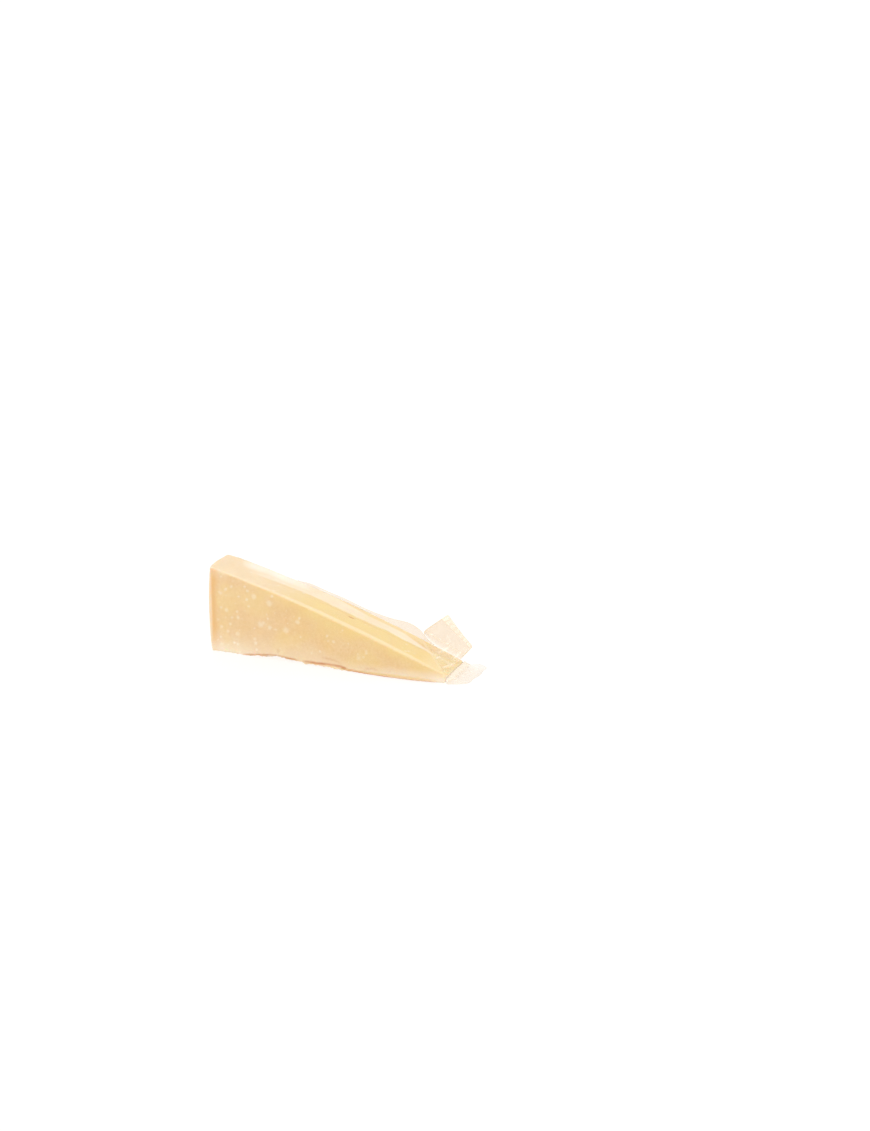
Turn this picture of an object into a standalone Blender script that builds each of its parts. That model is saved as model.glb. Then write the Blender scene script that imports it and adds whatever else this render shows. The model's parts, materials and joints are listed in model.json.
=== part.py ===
"""A wedge of parmesan sealed in clear vacuum film, lying on one of its cut sides.

Metres, +Z up. The triangular cut face looks along -Y, the rind end is at -X, and the
blunt tip with the sealed end of the film is at +X. Every piece is modelled from the
lower front corner of the rind end, and an empty then carries them all, so that the
origin is the middle of the whole part's underside.
"""
import math

import bmesh
import bpy
from mathutils import Vector, noise

# The wedge, in its film
LENGTH = 0.203
THICKNESS = 0.0385
RIND_HEIGHT = 0.071
TIP_HEIGHT = 0.0073
TOP_BOW = 0.0045
FRONT_BOW = 0.0022
FRONT_BOW_POWER = 1.6
FOOT_BOW = 0.0030
FOOT_BOW_POWER = 3.2
RIND_BULGE = 0.0016
RIND_SWING = 0.0033
RIND_SWING_AT = 0.72
RIND_REACH = 0.040
EDGE_RADIUS = 0.0019

# How finely the wedge is divided, and the share of a side that its rounded edge takes
ROWS_LONG = 40
ROWS_DEEP = 7
ROWS_HIGH = 12
EDGE_SHARE = 0.06

# The broken surface under the film
RELIEF_DEPTH = 0.00035
RELIEF_GRAIN = 0.014
RELIEF_SEED = 7
RAGGED_SHARE = 0.35
RAGGED_GRAIN = 0.006

# Chips out of the lower front edge: middle along X, half length, lift and inset
CHIPS = (
    (0.014, 0.012, 0.0010, 0.0012),
    (0.056, 0.024, 0.0036, 0.0030),
    (0.101, 0.018, 0.0017, 0.0014),
)
CHIP_RISE = 0.010
CHIP_REACH = 0.012

# The film's free parts
FILM = 0.0008
GAP = 0.0004
FIN_START = 0.062
FIN_END = 0.176
FIN_SLOPE = math.radians(45)
FIN_NARROW = 0.0016
FIN_WIDE = 0.0070
FIN_WIDEST_AT = 0.156
FIN_SPREAD = 0.016
FIN_WAVE = 0.0006
FIN_WAVE_LENGTH = 0.031
FIN_ROWS = 30

TAB_FOLD_LEFT = Vector((0.1742, 0.0265, 0.0316))
TAB_FOLD_RIGHT = Vector((0.2046, 0.0370, 0.0126))
TAB_SEAL_LEFT = Vector((0.1854, 0.0472, 0.0397))
TAB_SEAL_RIGHT = Vector((0.2073, 0.0451, 0.0166))
TAB_ROWS = 12
NECK_ROWS = 6
NECK_SAG = 0.0016
TAB_BELLY = 0.0010

TAIL_INNER = ((0.2035, 0.0400), (0.2035, 0.0015))
TAIL_OUTER = ((0.2140, 0.0070), (0.2172, 0.0240), (0.2190, 0.0450), (0.2115, 0.0545))


def clear_scene():
    """Remove what the file starts with."""
    for found in list(bpy.data.objects):
        bpy.data.objects.remove(found, do_unlink=True)


def principled(name, colour, roughness, transmission=0.0, ior=1.45):
    """Make a plain material from a linear colour."""
    material = bpy.data.materials.new(name)
    material.use_nodes = True
    shader = material.node_tree.nodes["Principled BSDF"]
    shader.inputs["Base Color"].default_value = (*colour, 1.0)
    shader.inputs["Roughness"].default_value = roughness
    shader.inputs["Transmission Weight"].default_value = transmission
    shader.inputs["IOR"].default_value = ior
    return material


def cheese_material():
    """Pale straw cheese, slightly waxy."""
    return principled("cheese", (0.80, 0.58, 0.29), 0.45)


def film_material():
    """Clear glossy film."""
    return principled("film", (0.93, 0.90, 0.84), 0.12, transmission=0.8, ior=1.5)


def wedge_height(x):
    """Height of the top face above the base at a distance from the rind."""
    share = min(max(x / LENGTH, 0.0), 1.0)
    straight = RIND_HEIGHT + (TIP_HEIGHT - RIND_HEIGHT) * share
    return straight + TOP_BOW * 4 * share * (1 - share)


def spread(share, size, radius):
    """Place a row so that the rows of the rounded edges lie within their radius."""
    if share < EDGE_SHARE:
        return radius * share / EDGE_SHARE
    if share > 1 - EDGE_SHARE:
        return size - radius * (1 - share) / EDGE_SHARE
    return radius + (size - 2 * radius) * (share - EDGE_SHARE) / (1 - 2 * EDGE_SHARE)


def row_shares(rows):
    """Shares of a side where it is divided, with two rows in each rounded edge."""
    step = (1 - 2 * EDGE_SHARE) / rows
    inner = [EDGE_SHARE + step * row for row in range(rows + 1)]
    return [EDGE_SHARE / 2] + inner + [1 - EDGE_SHARE / 2]


def rounded(point, size, radii):
    """Pull a point on a box's surface in to the box with rounded edges."""
    core = Vector([min(max(p, r), s - r) for p, s, r in zip(point, size, radii)])
    offset = point - core
    reach = Vector([o / r for o, r in zip(offset, radii)]).length
    return core + offset / reach if reach > 0 else core


def ragged(x, z):
    """Uneven factor near one, for broken edges."""
    grain = noise.noise(Vector((x, 0.0, z)) / RAGGED_GRAIN)
    return 1 + RAGGED_SHARE * 2 * grain


def chipped(point):
    """Lift and push in the lower front edge where it has crumbled."""
    low = max(0.0, 1 - point.z / CHIP_RISE)
    near = max(0.0, 1 - point.y / CHIP_REACH)
    moved = point.copy()
    for middle, half, lift, inset in CHIPS:
        share = (point.x - middle) / half
        if abs(share) >= 1:
            continue
        bump = (1 - share ** 4) * ragged(point.x, point.z)
        moved.y += inset * bump * low * near
        moved.z += lift * bump * low * near ** 2
    return moved


def relieved(point, base):
    """Roughen the surface a little everywhere but on the base."""
    if base:
        return point
    grain = noise.noise_vector(point / RELIEF_GRAIN)
    moved = point + RELIEF_DEPTH * grain
    moved.z = max(moved.z, 0.0)
    return moved


def rind_reach(x, y, share_high):
    """How far the rind end bulges up its height and swings out towards its back."""
    share = y / THICKNESS
    half = RIND_SWING_AT if share < RIND_SWING_AT else 1.0
    swing = RIND_SWING * (1 - ((share - RIND_SWING_AT) / half) ** 2)
    bulge = RIND_BULGE * 4 * share_high * (1 - share_high)
    return (swing + bulge) * max(0.0, 1 - x / RIND_REACH)


def front_reach(x, y, share_high):
    """How far the front face is bowed forwards, most past its middle and at its foot."""
    share = max(0.0, x / LENGTH)
    bow = FRONT_BOW * math.sin(math.pi * share ** FRONT_BOW_POWER)
    foot = FOOT_BOW * math.sin(math.pi * share ** FOOT_BOW_POWER) * (1 - share_high)
    return (bow + foot) * (1 - y / THICKNESS)


def wedge_point(share):
    """Place a point of the unit box on the wedge's surface."""
    x = spread(share.x, LENGTH, EDGE_RADIUS)
    height = wedge_height(x)
    size = Vector((LENGTH, THICKNESS, height))
    radii = Vector((EDGE_RADIUS, EDGE_RADIUS, min(EDGE_RADIUS, 0.4 * height)))
    y = spread(share.y, size.y, radii.y)
    z = spread(share.z, size.z, radii.z)
    point = rounded(Vector((x, y, z)), size, radii)
    point.x -= rind_reach(x, y, share.z)
    point.y -= front_reach(x, y, share.z)
    return chipped(relieved(point, base=share.z == 0.0))


def gridded_unit_box():
    """A unit box from 0 to 1 whose sides are cut into rows."""
    grid = bmesh.new()
    bmesh.ops.create_cube(grid, size=1.0)
    bmesh.ops.translate(grid, verts=grid.verts, vec=(0.5, 0.5, 0.5))
    for axis, rows in enumerate((ROWS_LONG, ROWS_DEEP, ROWS_HIGH)):
        normal = Vector((0, 0, 0))
        normal[axis] = 1
        for share in row_shares(rows):
            geometry = grid.verts[:] + grid.edges[:] + grid.faces[:]
            bmesh.ops.bisect_plane(grid, geom=geometry, dist=1e-7,
                                   plane_co=normal * share, plane_no=normal)
    return grid


def finish(name, mesh, material, collection, carrier):
    """Make the named object of a mesh, in its material, on the carrying empty."""
    mesh.materials.append(material)
    made = bpy.data.objects.new(name, mesh)
    collection.objects.link(made)
    made.parent = carrier
    return made


def make_wedge(collection, carrier):
    """The cheese in its tight film, with its rind end, as one solid."""
    grid = gridded_unit_box()
    for vertex in grid.verts:
        vertex.co = wedge_point(vertex.co)
    bmesh.ops.triangulate(grid, faces=grid.faces[:])
    bmesh.ops.recalc_face_normals(grid, faces=grid.faces[:])
    mesh = bpy.data.meshes.new("parmesan_wedge")
    grid.to_mesh(mesh)
    grid.free()
    wedge = finish("parmesan_wedge", mesh, cheese_material(), collection, carrier)
    mesh.shade_smooth()
    return wedge


def make_sheet(name, rows_u, rows_v, place, collection, carrier):
    """A thin solid sheet, from a grid whose points are placed by a function."""
    grid = bmesh.new()
    bmesh.ops.create_grid(grid, x_segments=rows_u, y_segments=rows_v, size=0.5)
    for vertex in grid.verts:
        vertex.co = place(vertex.co.x + 0.5, vertex.co.y + 0.5)
    bmesh.ops.triangulate(grid, faces=grid.faces[:])
    mesh = bpy.data.meshes.new(name)
    grid.to_mesh(mesh)
    grid.free()
    sheet = finish(name, mesh, film_material(), collection, carrier)
    mesh.shade_smooth()
    thick = sheet.modifiers.new("film", "SOLIDIFY")
    thick.thickness = FILM
    thick.offset = 0.0
    thick.use_even_offset = True
    return sheet


def fin_width(x):
    """Width of the free strip of film along the back top edge."""
    bump = math.exp(-((x - FIN_WIDEST_AT) / FIN_SPREAD) ** 2)
    return FIN_NARROW + (FIN_WIDE - FIN_NARROW) * bump


def fin_point(along, across):
    """Place a point of the strip, which leans back from the rounded edge."""
    x = FIN_START + (FIN_END - FIN_START) * along
    lean = Vector((0.0, math.cos(FIN_SLOPE), math.sin(FIN_SLOPE)))
    side = Vector((0.0, -math.sin(FIN_SLOPE), math.cos(FIN_SLOPE)))
    corner = Vector((x, THICKNESS - EDGE_RADIUS, wedge_height(x) - EDGE_RADIUS))
    start = corner + lean * (EDGE_RADIUS + RELIEF_DEPTH + GAP)
    wave = FIN_WAVE * math.sin(2 * math.pi * x / FIN_WAVE_LENGTH) * across
    return start + lean * fin_width(x) * across + side * wave


def make_fin(collection, carrier):
    """The strip of film that stands free along the back top edge."""
    return make_sheet("film_fin", FIN_ROWS, 3, fin_point, collection, carrier)


def neck_foot(along):
    """Point where the film leaves the cheese, across the top of the tip."""
    margin = EDGE_RADIUS
    x = LENGTH - margin
    lift = GAP + RELIEF_DEPTH + FILM / 2
    return Vector((x, margin + (THICKNESS - 2 * margin) * along, wedge_height(x) + lift))


def tab_point(along, rise):
    """Place a point of the gathered neck and of the sealed tab above it."""
    fold = TAB_FOLD_LEFT.lerp(TAB_FOLD_RIGHT, along)
    seal = TAB_SEAL_LEFT.lerp(TAB_SEAL_RIGHT, along)
    turn = NECK_ROWS / (NECK_ROWS + TAB_ROWS)
    if rise <= turn:
        share = rise / turn
        sag = NECK_SAG * math.sin(math.pi * share) * math.sin(math.pi * along)
        return neck_foot(along).lerp(fold, share) - Vector((0.0, 0.0, sag))
    share = (rise - turn) / (1 - turn)
    facing = (TAB_FOLD_RIGHT - TAB_FOLD_LEFT).cross(TAB_SEAL_LEFT - TAB_FOLD_LEFT).normalized()
    belly = TAB_BELLY * math.sin(math.pi * share) * math.sin(math.pi * along)
    return fold.lerp(seal, share) + facing * belly


def make_tab(collection, carrier):
    """The gathered neck past the tip and the heat-sealed tab that stands on it."""
    return make_sheet("film_tab", TAB_ROWS, NECK_ROWS + TAB_ROWS, tab_point,
                      collection, carrier)


def make_tail(collection, carrier):
    """The flap of film that lies on the ground past the tip."""
    curve = bpy.data.curves.new("film_tail", "CURVE")
    curve.dimensions = "2D"
    curve.fill_mode = "BOTH"
    curve.extrude = FILM / 2
    curve.resolution_u = 6
    outline = curve.splines.new("BEZIER")
    corners = TAIL_INNER + TAIL_OUTER
    outline.bezier_points.add(len(corners) - 1)
    for knot, (x, y) in zip(outline.bezier_points, corners):
        knot.co = (x, y, 0.0)
        kind = "VECTOR" if (x, y) in TAIL_INNER else "AUTO"
        knot.handle_left_type = kind
        knot.handle_right_type = kind
    outline.use_cyclic_u = True
    curve.materials.append(film_material())
    tail = bpy.data.objects.new("film_tail", curve)
    collection.objects.link(tail)
    tail.parent = carrier
    tail.location.z = FILM / 2
    return tail


def centre_on_base(pieces, carrier):
    """Move the carrying empty so that the origin is the middle of the underside."""
    bpy.context.view_layer.update()
    graph = bpy.context.evaluated_depsgraph_get()
    corners = []
    for piece in pieces:
        seen = piece.evaluated_get(graph)
        mesh = seen.to_mesh()
        corners += [seen.matrix_world @ vertex.co for vertex in mesh.vertices]
        seen.to_mesh_clear()
    low = [min(corner[axis] for corner in corners) for axis in range(3)]
    high = [max(corner[axis] for corner in corners) for axis in range(3)]
    carrier.location = (-(low[0] + high[0]) / 2, -(low[1] + high[1]) / 2, -low[2])


def main():
    """Build the wedge and the film's free parts."""
    clear_scene()
    noise.seed_set(RELIEF_SEED)
    collection = bpy.data.collections.new("parmesan_pack")
    bpy.context.scene.collection.children.link(collection)
    carrier = bpy.data.objects.new("pack_origin", None)
    collection.objects.link(carrier)
    makers = (make_wedge, make_fin, make_tab, make_tail)
    pieces = [make(collection, carrier) for make in makers]
    centre_on_base(pieces, carrier)


main()
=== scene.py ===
"""Looks of a parmesan wedge sealed in clear vacuum film, on a pale studio floor.

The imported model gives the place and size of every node. The cheese, the film that is
shrunk on it and the film's free parts are modelled round it here. Lengths are in
metres, or in millimetres where a comment or docstring says so. Places on the wedge are
counted from the lower front corner of its rind.
"""

import json
import logging
import math
from collections.abc import Callable, Iterator
from contextlib import contextmanager
from dataclasses import dataclass
from enum import Enum, IntEnum

import bmesh
import bpy
import numpy as np
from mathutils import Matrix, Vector, kdtree, noise

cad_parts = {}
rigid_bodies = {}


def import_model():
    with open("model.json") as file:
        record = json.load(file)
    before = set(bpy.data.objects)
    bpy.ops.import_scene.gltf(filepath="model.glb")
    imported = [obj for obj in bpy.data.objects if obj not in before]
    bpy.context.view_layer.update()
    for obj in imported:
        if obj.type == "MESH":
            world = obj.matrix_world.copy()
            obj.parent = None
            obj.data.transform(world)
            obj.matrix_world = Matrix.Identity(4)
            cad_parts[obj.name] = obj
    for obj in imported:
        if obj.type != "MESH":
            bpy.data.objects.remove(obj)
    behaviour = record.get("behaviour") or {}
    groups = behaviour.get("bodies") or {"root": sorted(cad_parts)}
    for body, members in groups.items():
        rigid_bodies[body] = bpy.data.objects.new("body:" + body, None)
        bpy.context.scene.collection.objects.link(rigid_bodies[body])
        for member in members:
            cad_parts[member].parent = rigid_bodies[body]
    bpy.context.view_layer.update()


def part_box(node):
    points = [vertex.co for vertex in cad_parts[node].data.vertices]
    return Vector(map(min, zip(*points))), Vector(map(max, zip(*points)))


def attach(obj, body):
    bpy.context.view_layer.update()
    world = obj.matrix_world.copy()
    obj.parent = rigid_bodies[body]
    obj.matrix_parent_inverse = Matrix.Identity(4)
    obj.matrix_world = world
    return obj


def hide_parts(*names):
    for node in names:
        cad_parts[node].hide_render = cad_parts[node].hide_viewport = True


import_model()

LOG = logging.getLogger("parmesan_pack")
MM = 0.001
IMAGE_HEIGHT = 1131
SENSOR_MM = 36.0

# How near a plane a vertex counts as lying on it
NEAR = 0.01 * MM
TURN = 2 * math.pi

# Where a smooth step starts and where it ends
Ramp = tuple[float, float]


class Pick(Enum):
    """What an edit-mode selection is made of."""

    VERTS = "VERT"
    EDGES = "EDGE"
    FACES = "FACE"


# Modelling steps that every piece uses


def deselect_all() -> None:
    """Leave nothing selected and no active object."""
    for item in bpy.context.view_layer.objects:
        item.select_set(False)
    bpy.context.view_layer.objects.active = None


def select_only(piece: bpy.types.Object) -> None:
    """Make one object the only selected and the active one.

    Args:
        piece: The object to work on next.
    """
    deselect_all()
    piece.select_set(True)
    bpy.context.view_layer.objects.active = piece


@contextmanager
def editing(piece: bpy.types.Object) -> Iterator[None]:
    """Hold an object in edit mode while its block runs.

    Args:
        piece: The mesh object to edit.
    """
    select_only(piece)
    bpy.ops.object.mode_set(mode="EDIT")
    try:
        yield
    finally:
        bpy.ops.object.mode_set(mode="OBJECT")


def pick(piece: bpy.types.Object, kind: Pick, test: Callable[[Vector], bool]) -> int:
    """Select in edit mode the elements whose middle passes a test.

    Args:
        piece: The object in edit mode.
        kind: Vertices, edges or faces.
        test: Says whether an element with this middle is wanted.

    Returns:
        How many elements were selected.
    """
    bpy.ops.mesh.select_mode(type=kind.value)
    bpy.ops.mesh.select_all(action="DESELECT")
    mesh = bmesh.from_edit_mesh(piece.data)
    groups = {Pick.VERTS: mesh.verts, Pick.EDGES: mesh.edges, Pick.FACES: mesh.faces}
    found = 0
    for item in groups[kind]:
        middle = item.co if kind is Pick.VERTS else middle_of(item)
        if test(middle):
            item.select = True
            found += 1
    mesh.select_flush_mode()
    bmesh.update_edit_mesh(piece.data)
    return found


def middle_of(item: bmesh.types.BMEdge | bmesh.types.BMFace) -> Vector:
    """Return the middle of an edge's or a face's corners."""
    return sum((vert.co for vert in item.verts), Vector()) / len(item.verts)


def apply_modifier(piece: bpy.types.Object, kind: str, **settings: object) -> None:
    """Add a modifier with its settings and apply it.

    Args:
        piece: The object to change.
        kind: The modifier's type, such as REMESH.
        settings: Values for the modifier's own properties.
    """
    select_only(piece)
    modifier = piece.modifiers.new(kind.lower(), kind)
    for name, value in settings.items():
        setattr(modifier, name, value)
    bpy.ops.object.modifier_apply(modifier=modifier.name)


def place_in_mesh(piece: bpy.types.Object) -> None:
    """Move an object's place, turn and scale into its mesh."""
    select_only(piece)
    bpy.ops.object.transform_apply(location=True, rotation=True, scale=True)


def vertex_rows(piece: bpy.types.Object, kind: str) -> np.ndarray:
    """Return three numbers of each of a mesh's vertices.

    Args:
        piece: The mesh object.
        kind: The vertices' property, co or normal.

    Returns:
        One row for each vertex.
    """
    flat = np.empty(len(piece.data.vertices) * 3)
    piece.data.vertices.foreach_get(kind, flat)
    return flat.reshape(-1, 3)


def coordinates(piece: bpy.types.Object) -> np.ndarray:
    """Return a mesh's vertex places, one row each."""
    return vertex_rows(piece, "co")


def normals(piece: bpy.types.Object) -> np.ndarray:
    """Return a mesh's vertex normals, one row each."""
    return vertex_rows(piece, "normal")


def move_vertices(piece: bpy.types.Object, places: np.ndarray) -> None:
    """Put a mesh's vertices at new places.

    Args:
        piece: The object to change.
        places: One row for each vertex.
    """
    piece.data.vertices.foreach_set("co", np.ascontiguousarray(places).ravel())
    piece.data.update()


def write_attribute(piece: bpy.types.Object, name: str, values: np.ndarray) -> None:
    """Store one number a vertex for a material to read.

    Args:
        piece: The object that carries the numbers.
        name: The attribute's name.
        values: One number for each vertex.
    """
    made = piece.data.attributes.new(name, "FLOAT", "POINT")
    made.data.foreach_set("value", np.ascontiguousarray(values, dtype=np.float32))


def weigh(piece: bpy.types.Object, name: str, weights: np.ndarray) -> str:
    """Make a vertex group from one weight a vertex, in a hundred steps.

    Args:
        piece: The object that gets the group.
        name: The group's name.
        weights: One weight from 0 to 1 for each vertex.

    Returns:
        The group's name.
    """
    group = piece.vertex_groups.new(name=name)
    steps = np.clip(np.round(weights * 100), 0, 100).astype(int)
    for step in np.unique(steps):
        group.add(np.nonzero(steps == step)[0].tolist(), step / 100, "REPLACE")
    return name


def noise_at(places: np.ndarray, grain: float, seed: int = 0) -> np.ndarray:
    """Return smooth noise from -1 to 1 at each place.

    Args:
        places: One row for each place.
        grain: Size of the noise's bumps.
        seed: Shifts the noise, so that two uses differ.

    Returns:
        One number for each place.
    """
    shift = Vector((seed * 13.7, seed * 7.3, seed * 3.1))
    return np.array([noise.noise(Vector(row) / grain + shift) for row in places])


def smooth_step(low: float, high: float, values: np.ndarray) -> np.ndarray:
    """Return 0 below low, 1 above high and a smooth rise between."""
    share = np.clip((values - low) / (high - low), 0, 1)
    return share * share * (3 - 2 * share)


def relief_texture(name: str, kind: str, grain: float) -> bpy.types.Texture:
    """Make a texture for Displace, whose grain is a real size.

    Args:
        name: The texture's name.
        kind: CLOUDS, STUCCI or another texture type.
        grain: Size of its bumps.

    Returns:
        The texture.
    """
    made = bpy.data.textures.new(name, kind)
    made.noise_scale = grain
    return made


def dress(piece: bpy.types.Object, material: bpy.types.Material) -> None:
    """Shade a piece smooth and give it its one material.

    Args:
        piece: The finished mesh.
        material: What it is made of.
    """
    piece.data.shade_smooth()
    piece.data.materials.clear()
    piece.data.materials.append(material)


def sheet_from_grid(
    name: str, rows_u: int, rows_v: int, place: Callable[[float, float], Vector]
) -> bpy.types.Object:
    """Drape a plane's grid over a surface that a function gives.

    Args:
        name: The piece's name.
        rows_u: Faces along the first direction.
        rows_v: Faces along the second direction.
        place: Gives the place of a point from its two shares, each from 0 to 1.

    Returns:
        The open sheet.
    """
    deselect_all()
    bpy.ops.mesh.primitive_grid_add(
        x_subdivisions=rows_u, y_subdivisions=rows_v, size=1
    )
    piece = bpy.context.object
    piece.name = name
    shares = coordinates(piece)[:, :2] + 0.5
    move_vertices(piece, np.array([place(float(u), float(v)) for u, v in shares]))
    return piece


def grid_shares(rows_u: int, rows_v: int) -> np.ndarray:
    """Return the two shares of each vertex of a draped grid, in its vertex order.

    Args:
        rows_u: Faces along the first direction.
        rows_v: Faces along the second direction.

    Returns:
        One row of two shares for each vertex.
    """
    u = np.tile(np.linspace(0, 1, rows_u + 1), rows_v + 1)
    v = np.repeat(np.linspace(0, 1, rows_v + 1), rows_u + 1)
    return np.stack([u, v], axis=1)


def linear(code: str) -> tuple[float, float, float, float]:
    """Turn an sRGB hex colour into linear values.

    Args:
        code: Six hex digits after a #.

    Returns:
        Red, green, blue and an alpha of 1.
    """
    parts = [int(code[i:i + 2], 16) / 255 for i in (1, 3, 5)]
    red, green, blue = (
        part / 12.92 if part <= 0.04045 else ((part + 0.055) / 1.055) ** 2.4
        for part in parts
    )
    return red, green, blue, 1.0


def add_node(
    tree: bpy.types.NodeTree,
    kind: str,
    links: dict[str, bpy.types.NodeSocket] | None = None,
    values: dict[str, object] | None = None,
    **settings: object,
) -> bpy.types.Node:
    """Add a shader node with its settings, values and links.

    Args:
        tree: The material's nodes.
        kind: The node's type.
        links: Output sockets, by the name or index of the input they feed.
        values: Constants, by the name or index of the input they set.
        settings: Values for the node's own properties.

    Returns:
        The node.
    """
    node = tree.nodes.new(kind)
    for name, value in settings.items():
        setattr(node, name, value)
    for name, value in (values or {}).items():
        node.inputs[name].default_value = value
    for name, socket in (links or {}).items():
        tree.links.new(socket, node.inputs[name])
    return node


def start_material(
    name: str, constants: dict[str, object]
) -> tuple[bpy.types.Material, bpy.types.Node]:
    """Make a material and set the constants on its shader's own sockets.

    Args:
        name: The material's name.
        constants: Values, by the names of the inputs they set.

    Returns:
        The material and its shader.
    """
    material = bpy.data.materials.new(name)
    material.use_nodes = True
    shader = material.node_tree.nodes["Principled BSDF"]
    for socket, value in constants.items():
        shader.inputs[socket].default_value = value
    return material, shader


# Finishes


@dataclass(frozen=True)
class HardCheese:
    """Aged hard cheese, cut with a wire: waxy, granular, dotted with pale crystals.

    Light goes a few millimetres into the paste, which softens its edges. Film that
    clings to it adds a second, sharper gloss, so that is the coat, and a whitish
    milkiness where it is doubled or has air under it. The pale tone also paints light
    and a highlight on the cheese, and a brown paints shade under its chipped edge.
    """

    paste: str = "#DDBA86"
    paste_pale: str = "#E0C292"
    paste_deep: str = "#D5AD74"
    crystal: str = "#E6D5B6"
    rind_inner: str = "#DCAD69"
    rind_skin: str = "#D6B078"
    # Tone of wet film, also used as painted light on the top under the neck
    oiled_and_painted_light: str = "#E3C87F"
    # Brown of painted shade, and of small marks
    painted_shade_and_marks: str = "#BC7436"
    # Pale tone of film milkiness, also used as painted light and a painted highlight
    haze_and_painted_light: str = "#F2ECE0"
    roughness: float = 0.52
    roughness_swing: float = 0.08
    ior: float = 1.46
    scatter: float = 0.35
    scatter_tones: tuple[float, float, float] = (1.0, 0.55, 0.22)
    depth: float = 3.0 * MM
    cling_gloss: float = 0.55
    cling_roughness: float = 0.16
    cling_ior: float = 1.5
    mottle_size: float = 22 * MM
    speckle_size: float = 2.4 * MM
    dot_spacing: float = 3.4 * MM
    gloss_patch: float = 9 * MM
    grain_size: float = 0.9 * MM
    grain_relief: float = 0.12 * MM

    def make(self) -> bpy.types.Material:
        """Make the material, which reads its zones from the mesh's attributes.

        Returns:
            The material.
        """
        material, shader = start_material("hard_cheese", {
            "IOR": self.ior,
            "Subsurface Weight": self.scatter,
            "Subsurface Radius": self.scatter_tones,
            "Subsurface Scale": self.depth,
            "Coat Weight": self.cling_gloss,
            "Coat Roughness": self.cling_roughness,
            "Coat IOR": self.cling_ior,
        })
        tree = material.node_tree
        place = add_node(tree, "ShaderNodeTexCoord").outputs["Object"]
        tree.links.new(self.colour(tree, place), shader.inputs["Base Color"])
        patches = add_node(tree, "ShaderNodeTexNoise", {"Vector": place},
                           {"Scale": 1 / self.gloss_patch, "Detail": 3.0})
        gloss = add_node(tree, "ShaderNodeMapRange", {"Value": patches.outputs["Fac"]},
                         {"To Min": self.roughness - self.roughness_swing,
                          "To Max": self.roughness + self.roughness_swing})
        tree.links.new(gloss.outputs["Result"], shader.inputs["Roughness"])
        grain = add_node(tree, "ShaderNodeTexNoise", {"Vector": place},
                         {"Scale": 1 / self.grain_size, "Detail": 5.0,
                          "Roughness": 0.6})
        bump = add_node(tree, "ShaderNodeBump", {"Height": grain.outputs["Fac"]},
                        {"Strength": 0.35, "Distance": self.grain_relief})
        tree.links.new(bump.outputs["Normal"], shader.inputs["Normal"])
        return material

    def colour(
        self, tree: bpy.types.NodeTree, place: bpy.types.NodeSocket
    ) -> bpy.types.NodeSocket:
        """Build the colour: mottled paste, crystals, and the rind's amber band.

        Args:
            tree: The material's nodes.
            place: Object coordinates.

        Returns:
            The colour's socket.
        """
        wide = add_node(tree, "ShaderNodeTexNoise", {"Vector": place},
                        {"Scale": 1 / self.mottle_size, "Detail": 2.0})
        fine = add_node(tree, "ShaderNodeTexNoise", {"Vector": place},
                        {"Scale": 1 / self.speckle_size, "Detail": 4.0,
                         "Roughness": 0.62})
        mottle = add_node(tree, "ShaderNodeMapRange", {"Value": wide.outputs["Fac"]},
                          {"From Min": 0.3, "From Max": 0.7})
        speckle = add_node(tree, "ShaderNodeMapRange", {"Value": fine.outputs["Fac"]},
                           {"From Min": 0.35, "From Max": 0.7, "To Max": 0.55})
        base = self.blend(tree, mottle.outputs["Result"], self.paste, self.paste_pale)
        base = self.blend(tree, speckle.outputs["Result"], base, self.paste_deep)
        dots = add_node(tree, "ShaderNodeTexVoronoi", {"Vector": place},
                        {"Scale": 1 / self.dot_spacing})
        dot = add_node(tree, "ShaderNodeMapRange", {"Value": dots.outputs["Distance"]},
                       {"From Min": 0.16, "From Max": 0.08, "To Max": 0.3})
        base = self.blend(tree, dot.outputs["Result"], base, self.crystal)
        # Among these zones are painted light, a painted highlight and painted shade
        zones = (
            ("broken", self.paste_pale),
            ("oiled_and_painted_light", self.oiled_and_painted_light),
            ("crystal", self.crystal),
            ("rind", self.rind_inner),
            ("rind_skin", self.rind_skin),
            ("haze_and_painted_light", self.haze_and_painted_light),
            ("painted_shade_and_marks", self.painted_shade_and_marks),
        )
        for zone, tone in zones:
            share = add_node(tree, "ShaderNodeAttribute", attribute_name=zone)
            base = self.blend(tree, share.outputs["Fac"], base, tone)
        return base

    @staticmethod
    def blend(
        tree: bpy.types.NodeTree,
        share: bpy.types.NodeSocket,
        first: bpy.types.NodeSocket | str,
        second: str,
    ) -> bpy.types.NodeSocket:
        """Mix a second colour over a first by a share.

        Args:
            tree: The material's nodes.
            share: How much of the second colour shows.
            first: A colour socket or a hex colour.
            second: A hex colour.

        Returns:
            The mixed colour's socket.
        """
        fixed = isinstance(first, str)
        links = {0: share} if fixed else {0: share, 6: first}
        values = {7: linear(second)}
        if fixed:
            values[6] = linear(first)
        mix = add_node(tree, "ShaderNodeMix", links, values, data_type="RGBA")
        return mix.outputs[2]


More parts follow.
